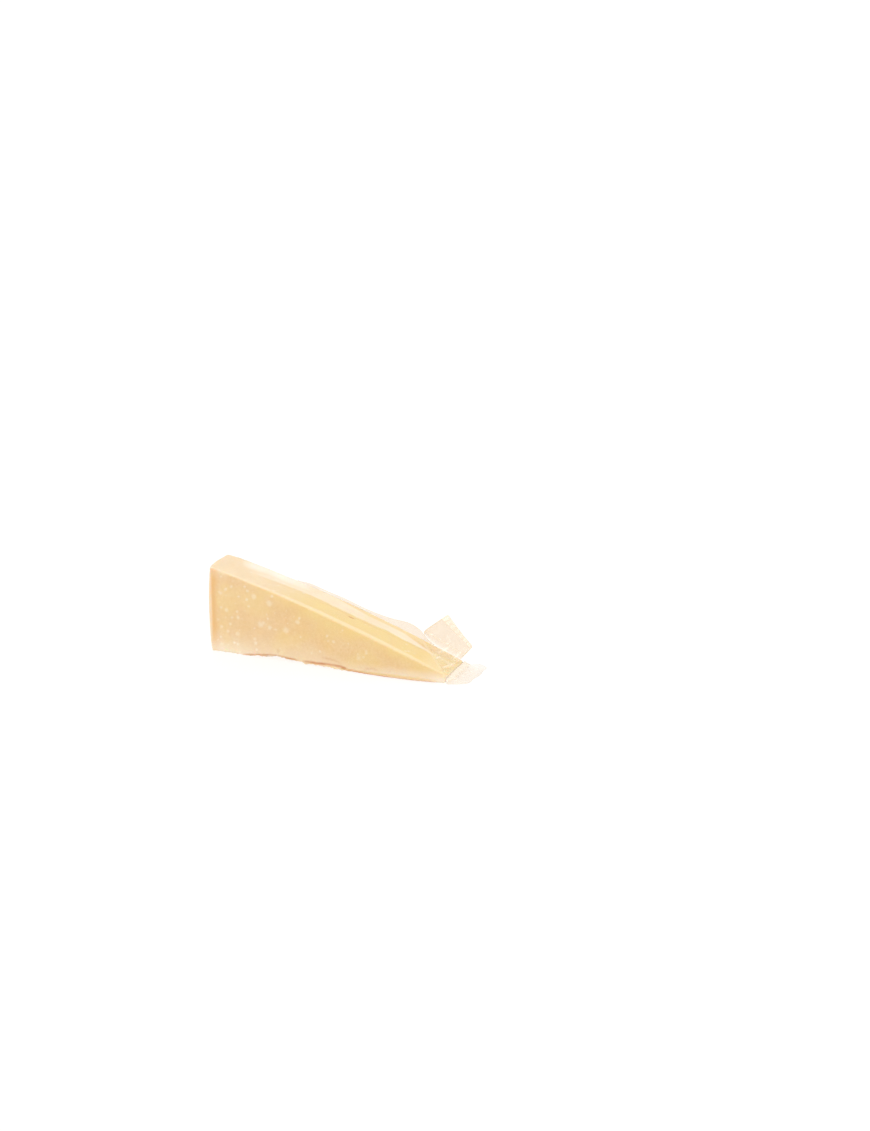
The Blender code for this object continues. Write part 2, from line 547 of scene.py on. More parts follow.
@dataclass(frozen=True)
class VacuumFilm:
    """Polyamide and polyethylene bag film, blown and cooled: clear and glossy.

    It shows by its sharp highlights and by a faint milkiness that grows where it
    stands off the cheese or is doubled, so its alpha follows the mesh's lift. Film at
    its seals is whiter, and the same white tone paints highlights on pleat crests and
    edges and light on the tail's root; the mesh's whiteness says where.
    """

    name: str
    tint: str = "#D8B57A"
    # Tone of seals, also used for painted highlights and painted light
    white_of_welds_and_painted_light: str = "#FAEEDC"
    clear: float = 0.015
    milky: float = 0.95
    roughness: float = 0.12
    gloss_roughness: float = 0.05
    ior: float = 1.5
    cloud_size: float = 6 * MM
    cloud_white: float = 0.35
    ripple_size: float = 3.5 * MM
    ripple_relief: float = 0.2 * MM

    def make(self) -> bpy.types.Material:
        """Make the material, which reads lift and whiteness from the mesh.

        Returns:
            The material.
        """
        material, shader = start_material(self.name, {
            "IOR": self.ior,
            "Roughness": self.roughness,
            "Coat Weight": 1.0,
            "Coat Roughness": self.gloss_roughness,
        })
        tree = material.node_tree
        place = add_node(tree, "ShaderNodeTexCoord").outputs["Object"]
        cloud = add_node(tree, "ShaderNodeTexNoise", {"Vector": place},
                         {"Scale": 1 / self.cloud_size, "Detail": 3.0})
        tone = add_node(tree, "ShaderNodeMapRange", {"Value": cloud.outputs["Fac"]},
                        {"To Min": 0.0, "To Max": self.cloud_white})
        whiteness = add_node(tree, "ShaderNodeAttribute", attribute_name="whiteness")
        share = add_node(tree, "ShaderNodeMath",
                         {0: tone.outputs["Result"], 1: whiteness.outputs["Fac"]},
                         operation="MAXIMUM")
        colour = add_node(tree, "ShaderNodeMix", {0: share.outputs["Value"]},
                          {6: linear(self.tint), 7: linear(self.white_of_welds_and_painted_light)},
                          data_type="RGBA")
        tree.links.new(colour.outputs[2], shader.inputs["Base Color"])
        lift = add_node(tree, "ShaderNodeAttribute", attribute_name="lift")
        alpha = add_node(tree, "ShaderNodeMapRange", {"Value": lift.outputs["Fac"]},
                         {"To Min": self.clear, "To Max": self.milky})
        tree.links.new(alpha.outputs["Result"], shader.inputs["Alpha"])
        ripple = add_node(tree, "ShaderNodeTexNoise", {"Vector": place},
                          {"Scale": 1 / self.ripple_size, "Detail": 2.0})
        bump = add_node(tree, "ShaderNodeBump", {"Height": ripple.outputs["Fac"]},
                        {"Strength": 0.25, "Distance": self.ripple_relief})
        tree.links.new(bump.outputs["Normal"], shader.inputs["Normal"])
        return material


@dataclass(frozen=True)
class OpalFloor:
    """White opal acrylic, lit from below as on a product photographer's table.

    The light from below takes the shadow off the floor, so it stays near white.
    """

    shade: str = "#686766"
    mottled: str = "#6C6B6A"
    light: str = "#FFFDFB"
    glow: float = 0.85
    roughness: float = 0.6
    cloud_size: float = 40 * MM

    def make(self) -> bpy.types.Material:
        """Make the material.

        Returns:
            The material.
        """
        material, shader = start_material("opal_floor", {
            "Roughness": self.roughness,
            "Emission Color": linear(self.light),
            "Emission Strength": self.glow,
        })
        tree = material.node_tree
        place = add_node(tree, "ShaderNodeTexCoord").outputs["Object"]
        cloud = add_node(tree, "ShaderNodeTexNoise", {"Vector": place},
                         {"Scale": 1 / self.cloud_size, "Detail": 2.0})
        colour = add_node(tree, "ShaderNodeMix", {0: cloud.outputs["Fac"]},
                          {6: linear(self.shade), 7: linear(self.mottled)},
                          data_type="RGBA")
        tree.links.new(colour.outputs[2], shader.inputs["Base Color"])
        return material


# The wedge's form


@dataclass(frozen=True)
class WedgeForm:
    """The wedge's outer form, with its place and size read from the frame."""

    corner: Vector
    length: float = 203.0 * MM
    thickness: float = 38.5 * MM
    rind_height: float = 71.0 * MM
    tip_height: float = 7.3 * MM
    top_bow: float = 4.5 * MM
    front_bow: float = 2.2 * MM
    front_bow_power: float = 1.6
    foot_bow: float = 3.0 * MM
    foot_bow_power: float = 3.2
    rind_bulge: float = 1.6 * MM
    rind_swing: float = 3.3 * MM
    rind_swing_at: float = 0.72
    edge_radius: float = 1.9 * MM
    edge_segments: int = 5
    columns: int = 22
    rows: int = 9
    layers: int = 8

    @classmethod
    def from_frame(cls) -> "WedgeForm":
        """Return the form, with its corner taken from the node parmesan_wedge."""
        low, high = (Vector(c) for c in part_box("parmesan_wedge"))
        return cls(Vector((high.x - cls.length, high.y - cls.thickness, low.z)))

    def top(self, x: float) -> float:
        """Return the top face's height at a distance from the rind."""
        share = min(max(x / self.length, 0.0), 1.0)
        return self.straight_top(share) + self.top_bow * 4 * share * (1 - share)

    def straight_top(self, share: float) -> float:
        """Return the top's height without its bow, at a share of the length."""
        return self.rind_height + (self.tip_height - self.rind_height) * share

    def at(self, x: float, y: float, z: float) -> Vector:
        """Return the frame place of a point that is counted from the corner."""
        return self.corner + Vector((x, y, z))

    def block(self, name: str, inset: float) -> bpy.types.Object:
        """Model the plain wedge: a box, tapered, rounded, bowed and bulged.

        Args:
            name: The piece's name.
            inset: How far it lies inside the node's form.

        Returns:
            The wedge.
        """
        size = Vector((self.length, self.thickness, self.rind_height))
        deselect_all()
        bpy.ops.mesh.primitive_cube_add(
            size=1, location=self.corner + size / 2,
            scale=size - Vector((inset,) * 3) * 2,
        )
        piece = bpy.context.object
        piece.name = name
        place_in_mesh(piece)
        with editing(piece):
            self.taper(piece, inset)
            bpy.ops.mesh.select_all(action="SELECT")
            bpy.ops.mesh.bevel(offset=self.edge_radius - inset, profile=0.5,
                               segments=self.edge_segments, affect="EDGES")
            self.cut_columns()
            self.bow(piece)
            self.cut_rind(piece)
            self.bulge(piece)
            self.swing(piece)
        return piece

    def taper(self, piece: bpy.types.Object, inset: float) -> None:
        """Lower the tip's top edge of the box.

        Args:
            piece: The box, in edit mode.
            inset: How far the box lies inside the node's form.
        """
        tip = self.corner.x + self.length - inset
        pick(piece, Pick.VERTS, lambda p: p.x > tip - MM and p.z > self.tip_height)
        fall = self.tip_height - self.rind_height
        bpy.ops.transform.translate(value=(0, 0, fall))

    def cut_columns(self) -> None:
        """Cut the wedge, which is in edit mode, into columns along its length."""
        for x in self.column_places():
            bpy.ops.mesh.select_all(action="SELECT")
            bpy.ops.mesh.bisect(plane_co=self.at(x, 0, 0), plane_no=(1, 0, 0))

    def cut_rind(self, piece: bpy.types.Object) -> None:
        """Cut the rind end into rows up its height and layers across it.

        Args:
            piece: The wedge, in edit mode.
        """
        first = self.corner.x + self.column_places()[0]
        cuts = [(self.at(0, 0, z), (0, 0, 1)) for z in self.row_places()]
        cuts += [(self.at(0, y, 0), (0, 1, 0)) for y in self.layer_places()]
        for place, normal in cuts:
            pick(piece, Pick.FACES, lambda p: p.x < first)
            bpy.ops.mesh.bisect(plane_co=place, plane_no=normal)

    def column_places(self) -> list[float]:
        """Return where the columns are cut, from the rind."""
        return [self.length * column / self.columns
                for column in range(1, self.columns)]

    def row_places(self) -> list[float]:
        """Return how high the rows are cut."""
        return [self.rind_height * row / self.rows for row in range(1, self.rows)]

    def layer_places(self) -> list[float]:
        """Return how far from the front the layers are cut."""
        flat = self.thickness - 2 * self.edge_radius
        return [self.edge_radius + flat * layer / self.layers
                for layer in range(1, self.layers)]

    def bulge(self, piece: bpy.types.Object) -> None:
        """Round the rind end outwards, row by row.

        Args:
            piece: The divided wedge, in edit mode.
        """
        edge = self.corner.x + self.edge_radius
        for height in self.row_places():
            z = self.corner.z + height
            share = height / self.rind_height
            pick(piece, Pick.VERTS, lambda p: abs(p.z - z) < NEAR and p.x < edge)
            out = self.rind_bulge * 4 * share * (1 - share)
            bpy.ops.transform.translate(value=(-out, 0, 0))

    def swing(self, piece: bpy.types.Object) -> None:
        """Swing the rind end out towards its back, layer by layer.

        Args:
            piece: The divided wedge, in edit mode.
        """
        edge = self.corner.x + self.edge_radius
        last = self.thickness - self.edge_radius
        for depth in self.layer_places() + [last]:
            low = self.corner.y + depth - NEAR
            high = self.corner.y + (self.thickness if depth == last else depth) + NEAR
            pick(piece, Pick.VERTS, lambda p: low < p.y < high and p.x < edge)
            out = self.reach(depth / self.thickness)
            bpy.ops.transform.translate(value=(-out, 0, 0))

    def reach(self, share: float) -> float:
        """Return how far the rind end swings out at a share of the thickness."""
        half = self.rind_swing_at if share < self.rind_swing_at else 1.0
        return self.rind_swing * (1 - ((share - self.rind_swing_at) / half) ** 2)

    def bow(self, piece: bpy.types.Object) -> None:
        """Swell the top and the front a little, column by column.

        Args:
            piece: The divided wedge, in edit mode.
        """
        near = self.corner.y + self.edge_radius
        low = self.corner.z + self.edge_radius
        for x in self.column_places():
            share = x / self.length
            here = self.corner.x + x
            pick(piece, Pick.VERTS, lambda p: abs(p.x - here) < NEAR)
            growth = self.top(x) / self.straight_top(share)
            bpy.ops.transform.resize(value=(1, 1, growth),
                                     center_override=self.at(x, 0, 0))
            pick(piece, Pick.VERTS, lambda p: abs(p.x - here) < NEAR and p.y < near)
            out = self.front_bow * math.sin(math.pi * share ** self.front_bow_power)
            bpy.ops.transform.translate(value=(0, -out, 0))
            pick(piece, Pick.VERTS,
                 lambda p: abs(p.x - here) < NEAR and p.y < near and p.z < low)
            out = self.foot_bow * math.sin(math.pi * share ** self.foot_bow_power)
            bpy.ops.transform.translate(value=(0, -out, 0))


# How looks are painted on the wedge, in millimetres from its lower front rind corner


class Way(IntEnum):
    """A direction on the wedge, as the index of its coordinate."""

    ALONG = 0
    ACROSS = 1
    UP = 2


@dataclass(frozen=True)
class Fade:
    """A soft border of a patch: where it has nothing and where it is full."""

    way: Way
    none_at: float
    full_at: float


@dataclass(frozen=True)
class Patch:
    """A soft patch of one look, by its strength and its borders."""

    strength: float
    borders: tuple[Fade, ...]

    def at(self, spots: np.ndarray) -> np.ndarray:
        """Return how strong the patch is at each spot.

        Args:
            spots: One row for each spot, in millimetres from the corner.

        Returns:
            One strength for each spot.
        """
        total = np.full(len(spots), self.strength)
        for border in self.borders:
            total *= smooth_step(border.none_at, border.full_at, spots[:, border.way])
        return total


def strongest(patches: tuple[Patch, ...], spots: np.ndarray) -> np.ndarray:
    """Return the strength of the strongest patch at each spot."""
    return np.max([patch.at(spots) for patch in patches], axis=0)


def added(patches: tuple[Patch, ...], spots: np.ndarray) -> np.ndarray:
    """Return the strength of all the patches together at each spot."""
    return np.sum([patch.at(spots) for patch in patches], axis=0)


@dataclass(frozen=True)
class Mottle:
    """Noise that makes a value uneven: its middle, its swing, its grain, its seed."""

    middle: float
    swing: float
    grain: float
    seed: int

    def at(self, places: np.ndarray) -> np.ndarray:
        """Return the uneven value at each place in the frame."""
        return self.middle + self.swing * noise_at(places, self.grain, self.seed)


@dataclass(frozen=True)
class Blotches:
    """Uneven blotches: noise of a grain and seed, sharpened between two values."""

    grain: float
    seed: int
    border: Ramp

    def at(self, places: np.ndarray) -> np.ndarray:
        """Return a share from 0 to 1 at each place in the frame."""
        return smooth_step(*self.border, noise_at(places, self.grain, self.seed))


@dataclass(frozen=True)
class Trace:
    """A fine brown line of painted shade low on the front cut.

    It is given by places along the wedge, its height at each, its strength and width.
    """

    along: tuple[float, ...]
    height: tuple[float, ...]
    strength: float
    width: float
    end_fade: float = 6.0

    def at(self, spots: np.ndarray) -> np.ndarray:
        """Return how strong the line is at each spot.

        Args:
            spots: One row for each spot, in millimetres from the corner.

        Returns:
            One strength for each spot.
        """
        x = spots[:, Way.ALONG]
        line = np.interp(x, self.along, self.height)
        ends = np.minimum(x - self.along[0], self.along[-1] - x)
        near = np.exp(-(((spots[:, Way.UP] - line) / self.width) ** 2))
        return self.strength * near * smooth_step(0, self.end_fade, ends)


@dataclass(frozen=True)
class Speck:
    """A brown speck on one face, by its middle and half sizes along and up or across.

    The border says where it fades, in half sizes. It shows only within a range of the
    direction that is left, so that it marks one face.
    """

    way: Way
    middle: tuple[float, float]
    half: tuple[float, float]
    strength: float
    border: Ramp
    face: Way
    within: tuple[float, float]

    def at(self, spots: np.ndarray) -> np.ndarray:
        """Return how strong the speck is at each spot.

        Args:
            spots: One row for each spot, in millimetres from the corner.

        Returns:
            One strength for each spot.
        """
        flat = spots[:, (Way.ALONG, self.way)]
        away = np.linalg.norm((flat - self.middle) / self.half, axis=1)
        low, high = self.within
        shown = (spots[:, self.face] > low) & (spots[:, self.face] < high)
        return self.strength * (1 - smooth_step(*self.border, away)) * shown


@dataclass(frozen=True)
class MilkyStripe:
    """Air under the film along the top: its middle, its half width and its milkiness.

    The three are given at the same places along the wedge.
    """

    along: tuple[float, ...] = (0, 45, 65, 80, 95, 110, 125, 140, 155, 170, 182)
    middle: tuple[float, ...] = (30, 30, 30, 29, 28.5, 26.5, 26, 26.5, 26.5, 24, 22)
    half: tuple[float, ...] = (14, 12, 9, 8, 7.5, 7, 5, 5, 5, 2.5, 1.2)
    milky: tuple[float, ...] = (.5, .5, .42, .42, .46, .5, .36, .46, .52, .5, .45)
    start: Ramp = (8, 45)
    near_border: Ramp = (-1.4, 1.6)
    far_border: Ramp = (-1.4, 1.0)
    bends: tuple[Mottle, ...] = (
        Mottle(0.0, 1.6, 15 * MM, 10), Mottle(0.0, 0.8, 5 * MM, 12),
    )

    def at(self, spots: np.ndarray, places: np.ndarray) -> np.ndarray:
        """Return how milky the stripe is.

        Args:
            spots: The mesh's vertices, in millimetres from the corner.
            places: The same vertices in the frame.

        Returns:
            One share from 0 to 1 for each vertex.
        """
        x, y = spots[:, Way.ALONG], spots[:, Way.ACROSS]
        middle = np.interp(x, self.along, self.middle)
        half = np.interp(x, self.along, self.half)
        wander = sum(bend.at(places) for bend in self.bends)
        near = smooth_step(*self.near_border, y - (middle - half) + wander)
        far = smooth_step(*self.far_border, middle + half - y)
        milky = np.interp(x, self.along, self.milky)
        return milky * near * far * smooth_step(*self.start, x)


# The cheese


@dataclass(frozen=True)
class Chip:
    """A bite out of the lower front edge, by its middle and its three half sizes."""

    x: float
    half_length: float
    lift: float
    inset: float


@dataclass(frozen=True)
class Crystal:
    """A pale crystal on the front cut, by its place and radius in millimetres."""

    x: float
    z: float
    radius: float


@dataclass(frozen=True)
class Spots:
    """Round spots over the cheese: their number, radii from and to, and draw's seed."""

    count: int
    low: float
    high: float
    seed: int


@dataclass
class CheeseWedge:
    """The cheese: a cut wedge with its rind end, crumbled low along its front."""

    form: WedgeForm
    finish: HardCheese
    film_gap: float = 0.2 * MM
    voxel: float = 0.8 * MM
    wave_depth: float = 0.30 * MM
    wave_size: float = 14 * MM
    grain_depth: float = 0.16 * MM
    grain_size: float = 1.7 * MM
    chip_grain: float = 3.5 * MM
    chip_roughness: float = 0.7
    chips: tuple[Chip, ...] = (
        Chip(14 * MM, 11 * MM, 1.6 * MM, 2.4 * MM),
        Chip(44 * MM, 9 * MM, 1.8 * MM, 4.0 * MM),
        Chip(58 * MM, 11 * MM, 3.8 * MM, 8.0 * MM),
        Chip(72 * MM, 12 * MM, 2.4 * MM, 4.5 * MM),
        Chip(94 * MM, 9 * MM, 2.6 * MM, 2.0 * MM),
        Chip(107 * MM, 11 * MM, 3.0 * MM, 2.2 * MM),
    )
    # Broken paste along the lower front edge: full up to one distance from it and none
    # past the next, and fading out between two places along the wedge
    broken_depth: float = 1.1 * MM
    broken_grain: float = 2.6 * MM
    broken_level: float = 0.62
    broken_near: Ramp = (2 * MM, 9 * MM)
    broken_ends: Ramp = (105 * MM, 150 * MM)
    broken_blotches: Blotches = Blotches(9 * MM, 3, (-0.35, 0.35))
    broken_least: float = 0.35
    broken_shade: float = 0.6
    # Pits and small crystals lie thicker near the rind and low down
    pits: Spots = Spots(150, 0.5 * MM, 1.3 * MM, seed=12)
    pit_depth: float = 0.35 * MM
    small_crystals: Spots = Spots(300, 0.4 * MM, 1.15 * MM, seed=11)
    spot_chance: float = 0.12
    spot_reach: float = 55 * MM
    spot_rise: float = 90 * MM
    spot_bias: float = 2.2
    spot_peak: float = 0.6
    spot_end: float = 1.35
    spot_softness: float = 0.8
    spot_range: float = 1.5
    spot_uneven: float = 0.25
    spot_grain: float = 3 * MM
    spot_wobble: float = 0.3
    spot_edge_grain: float = 1.3 * MM
    # Large crystals where the photograph shows them, fainter when wide or by the tip
    fine_peak: float = 0.72
    wide_peak: float = 0.56
    wide_from: float = 1.1
    tip_from: float = 120
    tip_fading: float = 0.18
    crystals: tuple[Crystal, ...] = (
        Crystal(6.5, 59.5, 0.7), Crystal(10.5, 63.5, 0.8), Crystal(19.5, 56.5, 1.2),
        Crystal(14, 53.5, 1.2), Crystal(10, 50, 1.3), Crystal(31.5, 57.5, 0.8),
        Crystal(39.5, 51, 2.1), Crystal(56, 53, 1.0), Crystal(53, 46.5, 2.4),
        Crystal(33.5, 47.5, 1.0), Crystal(26, 49.5, 0.9), Crystal(14.5, 36.5, 1.7),
        Crystal(7, 27.5, 0.9), Crystal(25.5, 31.5, 1.4), Crystal(20, 30.5, 1.1),
        Crystal(52, 34, 1.0), Crystal(45, 28.5, 2.2), Crystal(48, 30, 1.3),
        Crystal(18, 25, 1.2), Crystal(10, 22, 1.4), Crystal(53, 26.5, 1.9),
        Crystal(59, 26, 0.8), Crystal(16, 19, 1.2), Crystal(24.5, 18, 1.6),
        Crystal(9, 13.5, 0.9), Crystal(39.5, 15.5, 1.5), Crystal(40.5, 12.5, 1.6),
        Crystal(24.5, 9, 1.6), Crystal(21.5, 10, 1.0), Crystal(41, 6.5, 1.4),
        Crystal(9, 8, 1.1), Crystal(68, 26.5, 2.2), Crystal(78.5, 35, 1.8),
        Crystal(80, 38, 1.0), Crystal(104, 27, 1.0), Crystal(97, 13, 0.9),
        Crystal(109.5, 22.5, 1.4), Crystal(90, 10.5, 0.9), Crystal(131, 12, 1.9),
        Crystal(135, 13.5, 1.4), Crystal(122.5, 22.5, 0.9),
    )
    low_crystals: Patch = Patch(0.8, (Fade(Way.UP, 16, 10), Fade(Way.ALONG, 70, 45)))
    # The rind's amber band, its paler margin, and which faces look up or to the rind
    rind_depth: float = 7.5 * MM
    rind_border: Ramp = (0.6, 1.4)
    rind_margin: Ramp = (1.2 * MM, 3.4 * MM)
    rind_wander: Mottle = Mottle(0.0, 0.7 * MM, 8 * MM, 5)
    margin_fading: float = 0.75
    rind_crystal_fading: float = 0.5
    top_fading: float = 0.9
    skin_shade: float = 0.9
    faces_up: Ramp = (0.35, 0.8)
    faces_rind: Ramp = (0.86, 0.97)
    # Wet film: a yellower band on the top side, its back and under the front top edge;
    # over the neck the same tone is painted light that brightens the top
    oiled_least: float = 0.2
    oiled_band: Patch = Patch(0.6, (Fade(Way.ACROSS, 27, 19), Fade(Way.ALONG, 40, 95)))
    oiled_uneven: Mottle = Mottle(0.9, 0.35, 9 * MM, 13)
    oiled_back: Patch = Patch(0.4, (Fade(Way.ACROSS, 27, 31), Fade(Way.ALONG, 60, 100)))
    # Painted light: the top by the tip, under the neck, is brightened
    painted_neck_light: Patch = Patch(0.8, (Fade(Way.ALONG, 176, 190),))
    oiled_edge: Patch = Patch(0.5, (Fade(Way.ALONG, 15, 70),))
    oiled_edge_depth: float = 8.0
    oiled_front: float = 0.3
    oiled_blotches: Blotches = Blotches(16 * MM, 6, (-0.25, 0.4))
    # Painted shade: brown lines under the chipped lips of the lower front edge, along
    # its foot and along the seam's crease; and two brown specks
    painted_shade_lines: tuple[Trace, ...] = (
        Trace((27, 32, 38, 48, 54, 62, 70, 80),
              (0.8, 1.2, 2.0, 3.2, 4.2, 4.2, 3.4, 3.0), 0.85, 0.7),
        Trace((80, 90, 97, 103, 110, 114, 118, 124),
              (3.0, 3.0, 3.0, 3.4, 3.4, 3.3, 2.5, 1.6), 1.0, 0.9),
        Trace((96, 106, 112, 118), (8.8, 8.0, 7.0, 4.2), 0.3, 0.8),
        Trace((133, 138, 143, 147, 150), (2.2, 4.4, 5.4, 4.3, 1.4), 0.35, 0.7),
        Trace((118, 126, 140, 170, 198), (1.8, 1.1, 0.8, 0.7, 0.5), 1.0, 0.8),
    )
    trace_least: float = 0.7
    trace_blotches: Blotches = Blotches(7 * MM, 8, (-0.3, 0.3))
    front_only: Patch = Patch(1.0, (Fade(Way.ACROSS, 6, 3),))
    # The first speck is painted shade in the hollow above a chip; the second is a small
    # brown mark on the top
    specks: tuple[Speck, ...] = (
        Speck(Way.UP, (60.5, 8.5), (1.6, 2.2), 0.2, (0.4, 1.3), Way.ACROSS, (-20, 6)),
        Speck(Way.ACROSS, (117, 15.3), (3.6, 1.0), 0.8, (0.5, 1.0), Way.UP, (30, 90)),
    )
    # Painted shade along the crease of the film's seam
    seam: Patch = Patch(0.16, (Fade(Way.ALONG, 75, 110), Fade(Way.ALONG, 180, 165)))
    seam_along: tuple[float, ...] = (80, 117, 150, 180)
    seam_across: tuple[float, ...] = (20.5, 17.0, 18.5, 20.5)
    seam_width: float = 0.7
    seam_above: float = 5.0
    # Film milkiness and painted light on the top; painted light low on the front, round
    # the rind and on the tip; a painted highlight along the front top edge
    stripe: MilkyStripe = MilkyStripe()
    # Film milkiness on the top, and painted light: the near-white back left and the top
    # by the neck stand in for light falling there
    top_haze_and_painted_light: tuple[Patch, ...] = (
        Patch(0.27, (Fade(Way.ALONG, 95, 30),)),
        Patch(0.78, (Fade(Way.ACROSS, 16, 32), Fade(Way.ALONG, 105, 55),
                     Fade(Way.ALONG, 6, 25))),
        Patch(0.14, (Fade(Way.ACROSS, 28, 32),)),
        Patch(0.2, (Fade(Way.ALONG, 180, 196), Fade(Way.ACROSS, 6, 20))),
        Patch(0.16, (Fade(Way.ALONG, 176, 190),)),
    )
    # Painted light from the floor: the front is paler low down and towards the tip
    painted_floor_light: float = 0.26
    painted_floor_light_from: float = 2.0
    painted_floor_light_along: tuple[float, float] = (90, 120)
    painted_floor_light_top: tuple[float, float] = (24, 11)
    painted_low_light: tuple[Patch, ...] = (
        Patch(0.2, (Fade(Way.UP, 12, 3), Fade(Way.ALONG, 45, 10))),
        Patch(0.16, (Fade(Way.UP, 10, 3), Fade(Way.ALONG, 130, 165))),
        Patch(0.12, (Fade(Way.ALONG, 178, 200),)),
        Patch(0.05, (Fade(Way.ALONG, 70, 50),)),
    )
    # Painted light: a paler rim round the rind end and its upper front corner
    painted_rim_light: tuple[Patch, ...] = (
        Patch(0.4, (Fade(Way.ALONG, 3.2, 0.8),)),
        Patch(0.2, (Fade(Way.UP, 56, 68), Fade(Way.ALONG, 25, 8))),
    )
    # Painted highlight: a pale line along the rounded front top edge
    painted_edge_highlight: tuple[Patch, ...] = (
        Patch(0.25, (Fade(Way.ACROSS, 4.2, 1.2),)),
        Patch(0.12, (Fade(Way.ACROSS, 4.2, 1.2), Fade(Way.ALONG, 70, 40))),
    )
    edge_turn: Ramp = (0.15, 0.75)
    # Painted light that brightens the tip's end face
    painted_tip_light: float = 0.35
    tip_turn: Ramp = (0.4, 0.8)
    haze_uneven: Mottle = Mottle(1.0, 0.2, 12 * MM, 9)
    # Painted highlights: pale lines of the gathered film's pleats on the top by the tip
    neck_lines: tuple[tuple[tuple[float, float], tuple[float, float]], ...] = (
        ((170, 34), (202, 1)), ((184, 30), (203, 14)),
    )
    painted_neck_line_highlight: float = 0.3
    neck_line_width: float = 1.1

    def build(self) -> bpy.types.Object:
        """Model and dress the cheese.

        Returns:
            The piece cheese_wedge.
        """
        piece = self.form.block("cheese_wedge", self.film_gap)
        self.crumble(piece)
        apply_modifier(piece, "REMESH", mode="VOXEL", voxel_size=self.voxel)
        self.roughen(piece)
        self.mark(piece)
        dress(piece, self.finish.make())
        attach(piece, "root")
        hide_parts("parmesan_wedge")
        return piece

    def crumble(self, piece: bpy.types.Object) -> None:
        """Break chips out of the lower front edge.

        Args:
            piece: The plain wedge.
        """
        rough = relief_texture("chip_relief", "CLOUDS", self.chip_grain)
        for chip in self.chips:
            deselect_all()
            bpy.ops.mesh.primitive_ico_sphere_add(
                subdivisions=4, radius=1, location=self.form.at(chip.x, 0, 0),
                scale=(chip.half_length, chip.inset, chip.lift),
            )
            cutter = bpy.context.object
            place_in_mesh(cutter)
            apply_modifier(cutter, "DISPLACE", texture=rough, mid_level=0.5,
                           strength=chip.lift * self.chip_roughness)
            apply_modifier(piece, "BOOLEAN", operation="DIFFERENCE", object=cutter,
                           solver="EXACT")
            bpy.data.objects.remove(cutter, do_unlink=True)

    def roughen(self, piece: bpy.types.Object) -> None:
        """Give the cut faces their waves, grain, pits and broken edge.

        Args:
            piece: The remeshed wedge.
        """
        weigh(piece, "broken", self.brokenness(coordinates(piece)))
        waves = relief_texture("wire_waves", "CLOUDS", self.wave_size)
        apply_modifier(piece, "DISPLACE", strength=self.wave_depth, mid_level=0.5,
                       texture=waves)
        broken = relief_texture("broken_paste", "STUCCI", self.broken_grain)
        apply_modifier(piece, "DISPLACE", strength=self.broken_depth, texture=broken,
                       mid_level=self.broken_level, vertex_group="broken")
        grain = relief_texture("paste_grain", "CLOUDS", self.grain_size)
        apply_modifier(piece, "DISPLACE", strength=self.grain_depth, mid_level=0.5,
                       texture=grain)
        places, outward = coordinates(piece), normals(piece)
        depth = self.scatter(places, self.pits)
        places -= outward * (depth * self.pit_depth)[:, None]
        places[:, 2] = np.maximum(places[:, 2], self.form.corner.z + self.film_gap)
        move_vertices(piece, places)
        piece.vertex_groups.clear()

    def brokenness(self, places: np.ndarray) -> np.ndarray:
        """Return how broken the paste is, from 0 to 1, at each place.

        Args:
            places: The mesh's vertices.

        Returns:
            One share for each vertex.
        """
        away = places - np.array(self.form.corner)
        edge = np.hypot(away[:, Way.ACROSS], away[:, Way.UP])
        near = 1 - smooth_step(*self.broken_near, edge)
        along = 1 - smooth_step(*self.broken_ends, away[:, Way.ALONG])
        patchy = (1 - self.broken_least) * self.broken_blotches.at(places)
        return near * along * (self.broken_least + patchy)

    def scatter(self, places: np.ndarray, spots: Spots) -> np.ndarray:
        """Scatter round spots over the cheese, thicker near the rind and low down.

        Args:
            places: The mesh's vertices.
            spots: How many there are, how large, and the seed of the random draw.

        Returns:
            One strength from 0 to 1 for each vertex.
        """
        draw = np.random.default_rng(spots.seed)
        away = places - np.array(self.form.corner)
        along = np.exp(-away[:, Way.ALONG] / self.spot_reach)
        chance = self.spot_chance + along * np.exp(-away[:, Way.UP] / self.spot_rise)
        picked = draw.choice(len(places), size=spots.count, p=chance / chance.sum())
        sizes = draw.random(spots.count) ** self.spot_bias
        radii = spots.low + (spots.high - spots.low) * sizes
        tree = self.tree(places)
        strength = np.zeros(len(places))
        for index, radius in zip(picked, radii):
            middle = Vector(places[index])
            self.spot(tree, strength, middle, float(radius), self.spot_peak)
        return strength

    @staticmethod
    def tree(places: np.ndarray) -> kdtree.KDTree:
        """Return a search tree of the places.

        Args:
            places: The mesh's vertices.

        Returns:
            The balanced tree.
        """
        made = kdtree.KDTree(len(places))
        for index, row in enumerate(places):
            made.insert(row, index)
        made.balance()
        return made

    def spot(
        self,
        tree: kdtree.KDTree,
        strength: np.ndarray,
        middle: Vector,
        radius: float,
        peak: float,
    ) -> None:
        """Raise the strength round one spot, softly towards its uneven edge.

        Args:
            tree: The mesh's search tree.
            strength: One strength for each vertex, changed in place.
            middle: The spot's middle.
            radius: The spot's radius.
            peak: The strength at its middle.
        """
        uneven = 1 + self.spot_uneven * noise.noise(middle / self.spot_grain)
        for place, index, distance in tree.find_range(middle, radius * self.spot_range):
            wobble = 1 + self.spot_wobble * noise.noise(place / self.spot_edge_grain)
            share = distance / (radius * uneven * wobble)
            value = (self.spot_end - share) / self.spot_softness
            strength[index] = max(strength[index], peak * max(0.0, min(1.0, value)))

